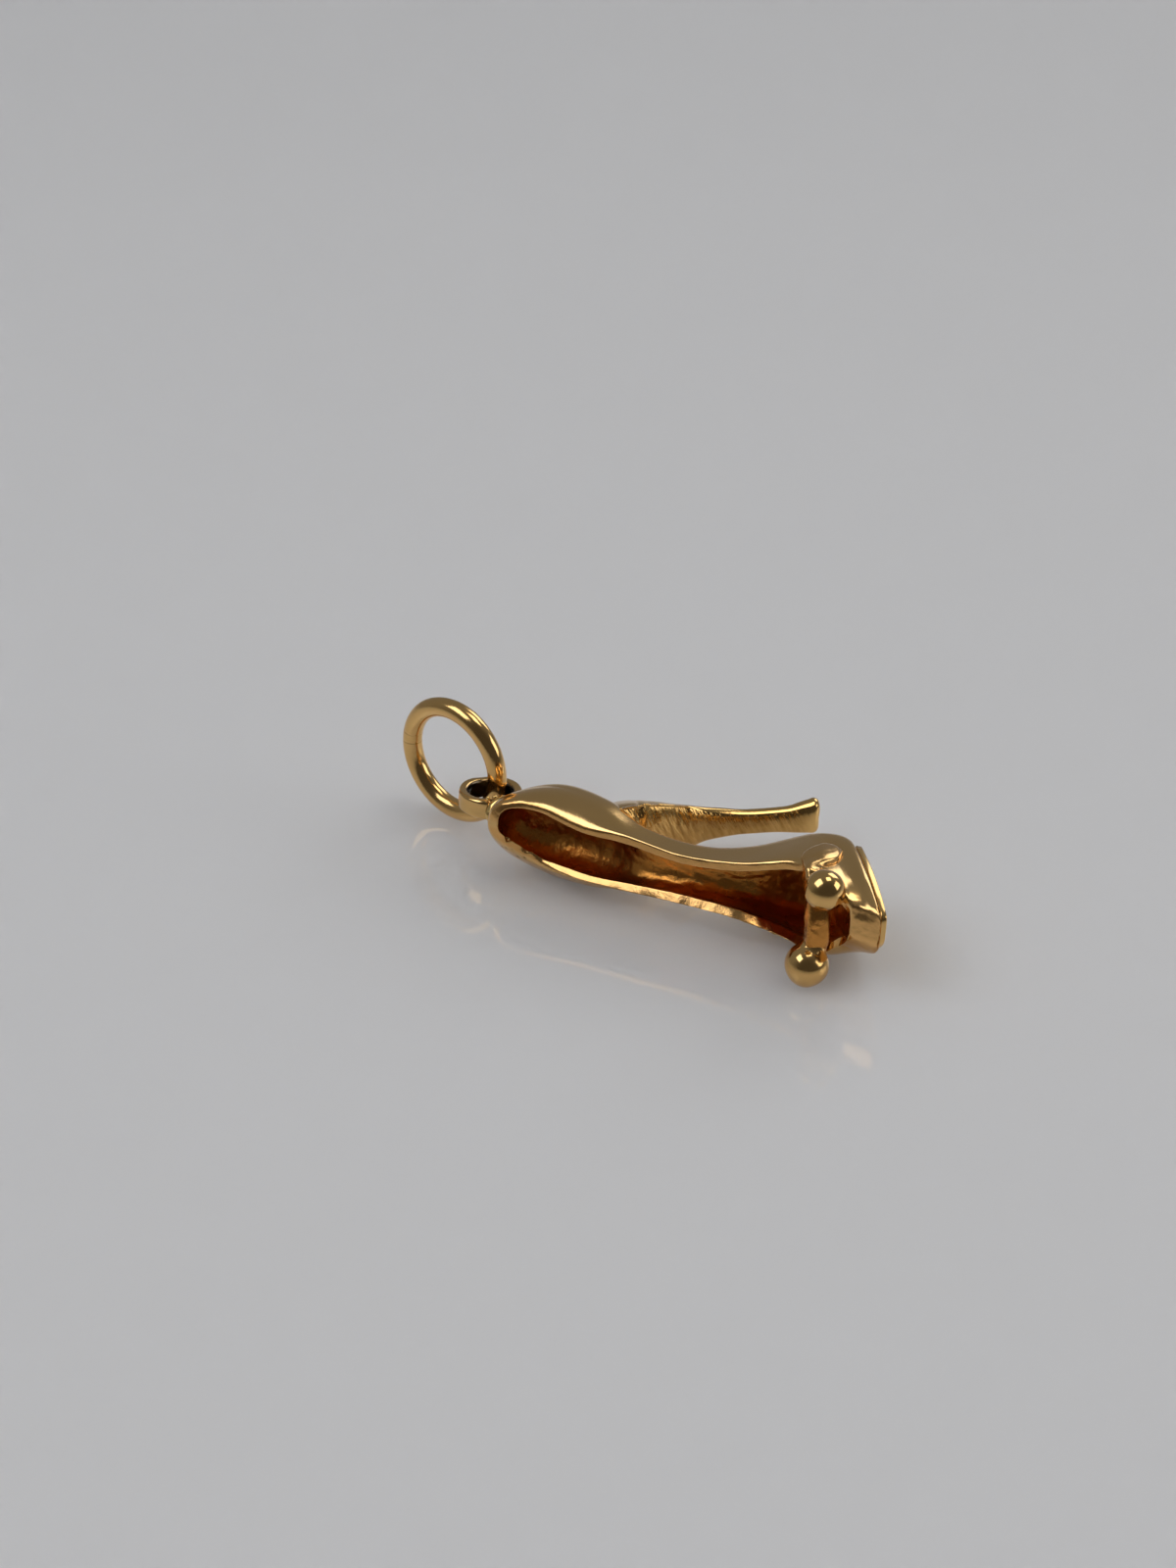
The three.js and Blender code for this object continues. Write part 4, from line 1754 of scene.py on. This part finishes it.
@dataclass(frozen=True)
class PhotoCamera:
    """The photograph's view: a long lens, a hand's width away, looking down on the toe end."""

    place_mm: Triple = (101.99, -17.67, 67.57)
    azimuth_deg: float = 81.21
    elevation_deg: float = 31.0
    focal_px: float = 2900.0
    frame_px: tuple[int, int] = (1200, 1600)
    sensor_mm: float = 36.0

    def build(self) -> None:
        """Makes the scene's camera."""
        lens = bpy.data.cameras.new("photo_camera")
        lens.sensor_fit = "VERTICAL"
        lens.sensor_height = self.sensor_mm
        lens.lens = self.focal_px / self.frame_px[1] * self.sensor_mm
        lens.clip_start = MM
        camera = add_object("photo_camera", lens)
        camera.location = Vector(self.place_mm) * MM
        down, round_z = math.radians(90 - self.elevation_deg), math.radians(self.azimuth_deg)
        camera.rotation_euler = (down, 0, round_z)
        bpy.context.scene.camera = camera


@dataclass(frozen=True)
class SoftBox:
    """One flat studio lamp that looks at the charm; its place and sizes are in metres."""

    name: str
    place: Triple
    size: Pair
    power: float
    colour: str

    def build(self) -> None:
        """Makes the lamp."""
        lamp = bpy.data.lights.new(self.name, "AREA")
        lamp.shape = "RECTANGLE"
        lamp.size, lamp.size_y = self.size
        lamp.energy = self.power
        lamp.color = linear(self.colour)[:3]
        holder = add_object(self.name, lamp)
        holder.location = self.place
        holder.rotation_euler = (-Vector(self.place)).to_track_quat("-Z", "Y").to_euler()


@dataclass
class Studio:
    """The table, the lamps and the room."""

    table: GlossyTable = GlossyTable()
    table_reach: float = 1.5
    room_far: str = "#7b7c7e"
    room_near: str = "#4a4846"
    room_span: Pair = (-0.4, 0.7)
    room_strength: float = 1.0
    lamps: tuple[SoftBox, ...] = (
        SoftBox("left_window", (0.07, -0.54, 0.72), (0.56, 0.5), 2.35, "#ecf2ff"),
        SoftBox("far_window", (-0.56, 0.55, 0.44), (0.42, 0.46), 1.35, "#f2f6ff"),
        SoftBox("overhead", (-0.03, 0.25, 0.87), (0.36, 0.36), 1.25, "#fff8ee"),
        SoftBox("right_window", (0.18, 0.81, 0.35), (0.5, 0.42), 1.35, "#fbfcff"),
    )

    def build(self) -> None:
        """Lays the table, hangs the lamps and sets the room's light."""
        mesh = bpy.data.meshes.new("table")
        with opened(mesh) as work:
            bmesh.ops.create_grid(work, x_segments=2, y_segments=2, size=self.table_reach)
        mesh.materials.append(self.table.material())
        add_object("table", mesh)
        for lamp in self.lamps:
            lamp.build()
        scene = bpy.context.scene
        scene.world = self.room()
        scene.view_settings.view_transform = "Standard"

    def room(self) -> bpy.types.World:
        """Makes the room's light: pale on the far side, dim on the near side.

        Returns:
            The world.
        """
        world = bpy.data.worlds.new("room")
        world.use_nodes = True
        tree = world.node_tree
        tree.nodes.clear()
        way = add_node(tree, "ShaderNodeTexCoord").outputs["Generated"]
        axes = add_node(tree, "ShaderNodeSeparateXYZ", {"Vector": way})
        far, near = self.room_span
        nearness = add_node(
            tree,
            "ShaderNodeMapRange",
            {"Value": axes.outputs["X"], "From Min": far, "From Max": near},
            interpolation_type="SMOOTHSTEP",
        ).outputs["Result"]
        colour = add_node(
            tree,
            "ShaderNodeMix",
            {"Factor": nearness, MIX_A: linear(self.room_far), MIX_B: linear(self.room_near)},
            data_type="RGBA",
        )
        light = add_node(
            tree,
            "ShaderNodeBackground",
            {"Color": colour.outputs[MIX_RESULT], "Strength": self.room_strength},
        )
        add_node(tree, "ShaderNodeOutputWorld", {"Surface": light.outputs["Background"]})
        return world


def main() -> None:
    """Builds the view, the studio and every piece of the charm in order."""
    logging.basicConfig(level=logging.INFO, format="%(name)s: %(message)s")
    PhotoCamera().build()
    Studio().build()

    polish = PolishedGold().material()
    bright = PolishedGold(
        name="bright_solder", colour="#ecca85", worn="#d9ae62", roughness=(0.12, 0.3)
    )
    cast = PieceMaker(Body.SHOE, Slot.CAST, CastGold().material())
    filed = PieceMaker(Body.SHOE, Slot.FILED, FiledGold().material())
    polished = PieceMaker(Body.SHOE, Slot.POLISHED, polish)
    soldered = PieceMaker(Body.SHOE, Slot.SOLDER, bright.material())
    hung = PieceMaker(Body.RING, Slot.POLISHED, polish)
    laid = LaidShoe().matrix()
    lines = ShellLines()

    upper = ShoeUpper(lines).mesh()
    skin = BVHTree.FromPolygons(
        [vertex.co.copy() for vertex in upper.vertices],
        [face.vertices[:] for face in upper.polygons],
    )
    cast.show(upper, laid, "shoe_upper")
    band = VampBand(lines)
    cast.show(band.mesh(), laid, "vamp_band")
    filed.show(StilettoHeel().mesh(skin), laid, "stiletto_heel")
    filed.show(SolePlate(lines).mesh(), laid, "sole_plate")

    knobs = (
        BowKnob(band, Side.LEFT, (10.2, 1.85, 2.35), radius=0.86, neck=0.56, foot=0.4),
        BowKnob(band, Side.RIGHT, (9.95, -1.7, 2.8), radius=0.93, neck=0.66, foot=0.5),
    )
    for knob in knobs:
        polished.show(knob.mesh(), laid, knob.node())

    bail = Bail(lines)
    polished.show(bail.loop_mesh(polish), bail.place(laid), "bail_loop")
    soldered.show(bail.solder_mesh(), laid, "bail_solder")

    ring = JumpRing()
    hung.show(ring.mesh(polish), ring.place(), "jump_ring")


if __name__ == "__main__":
    main()
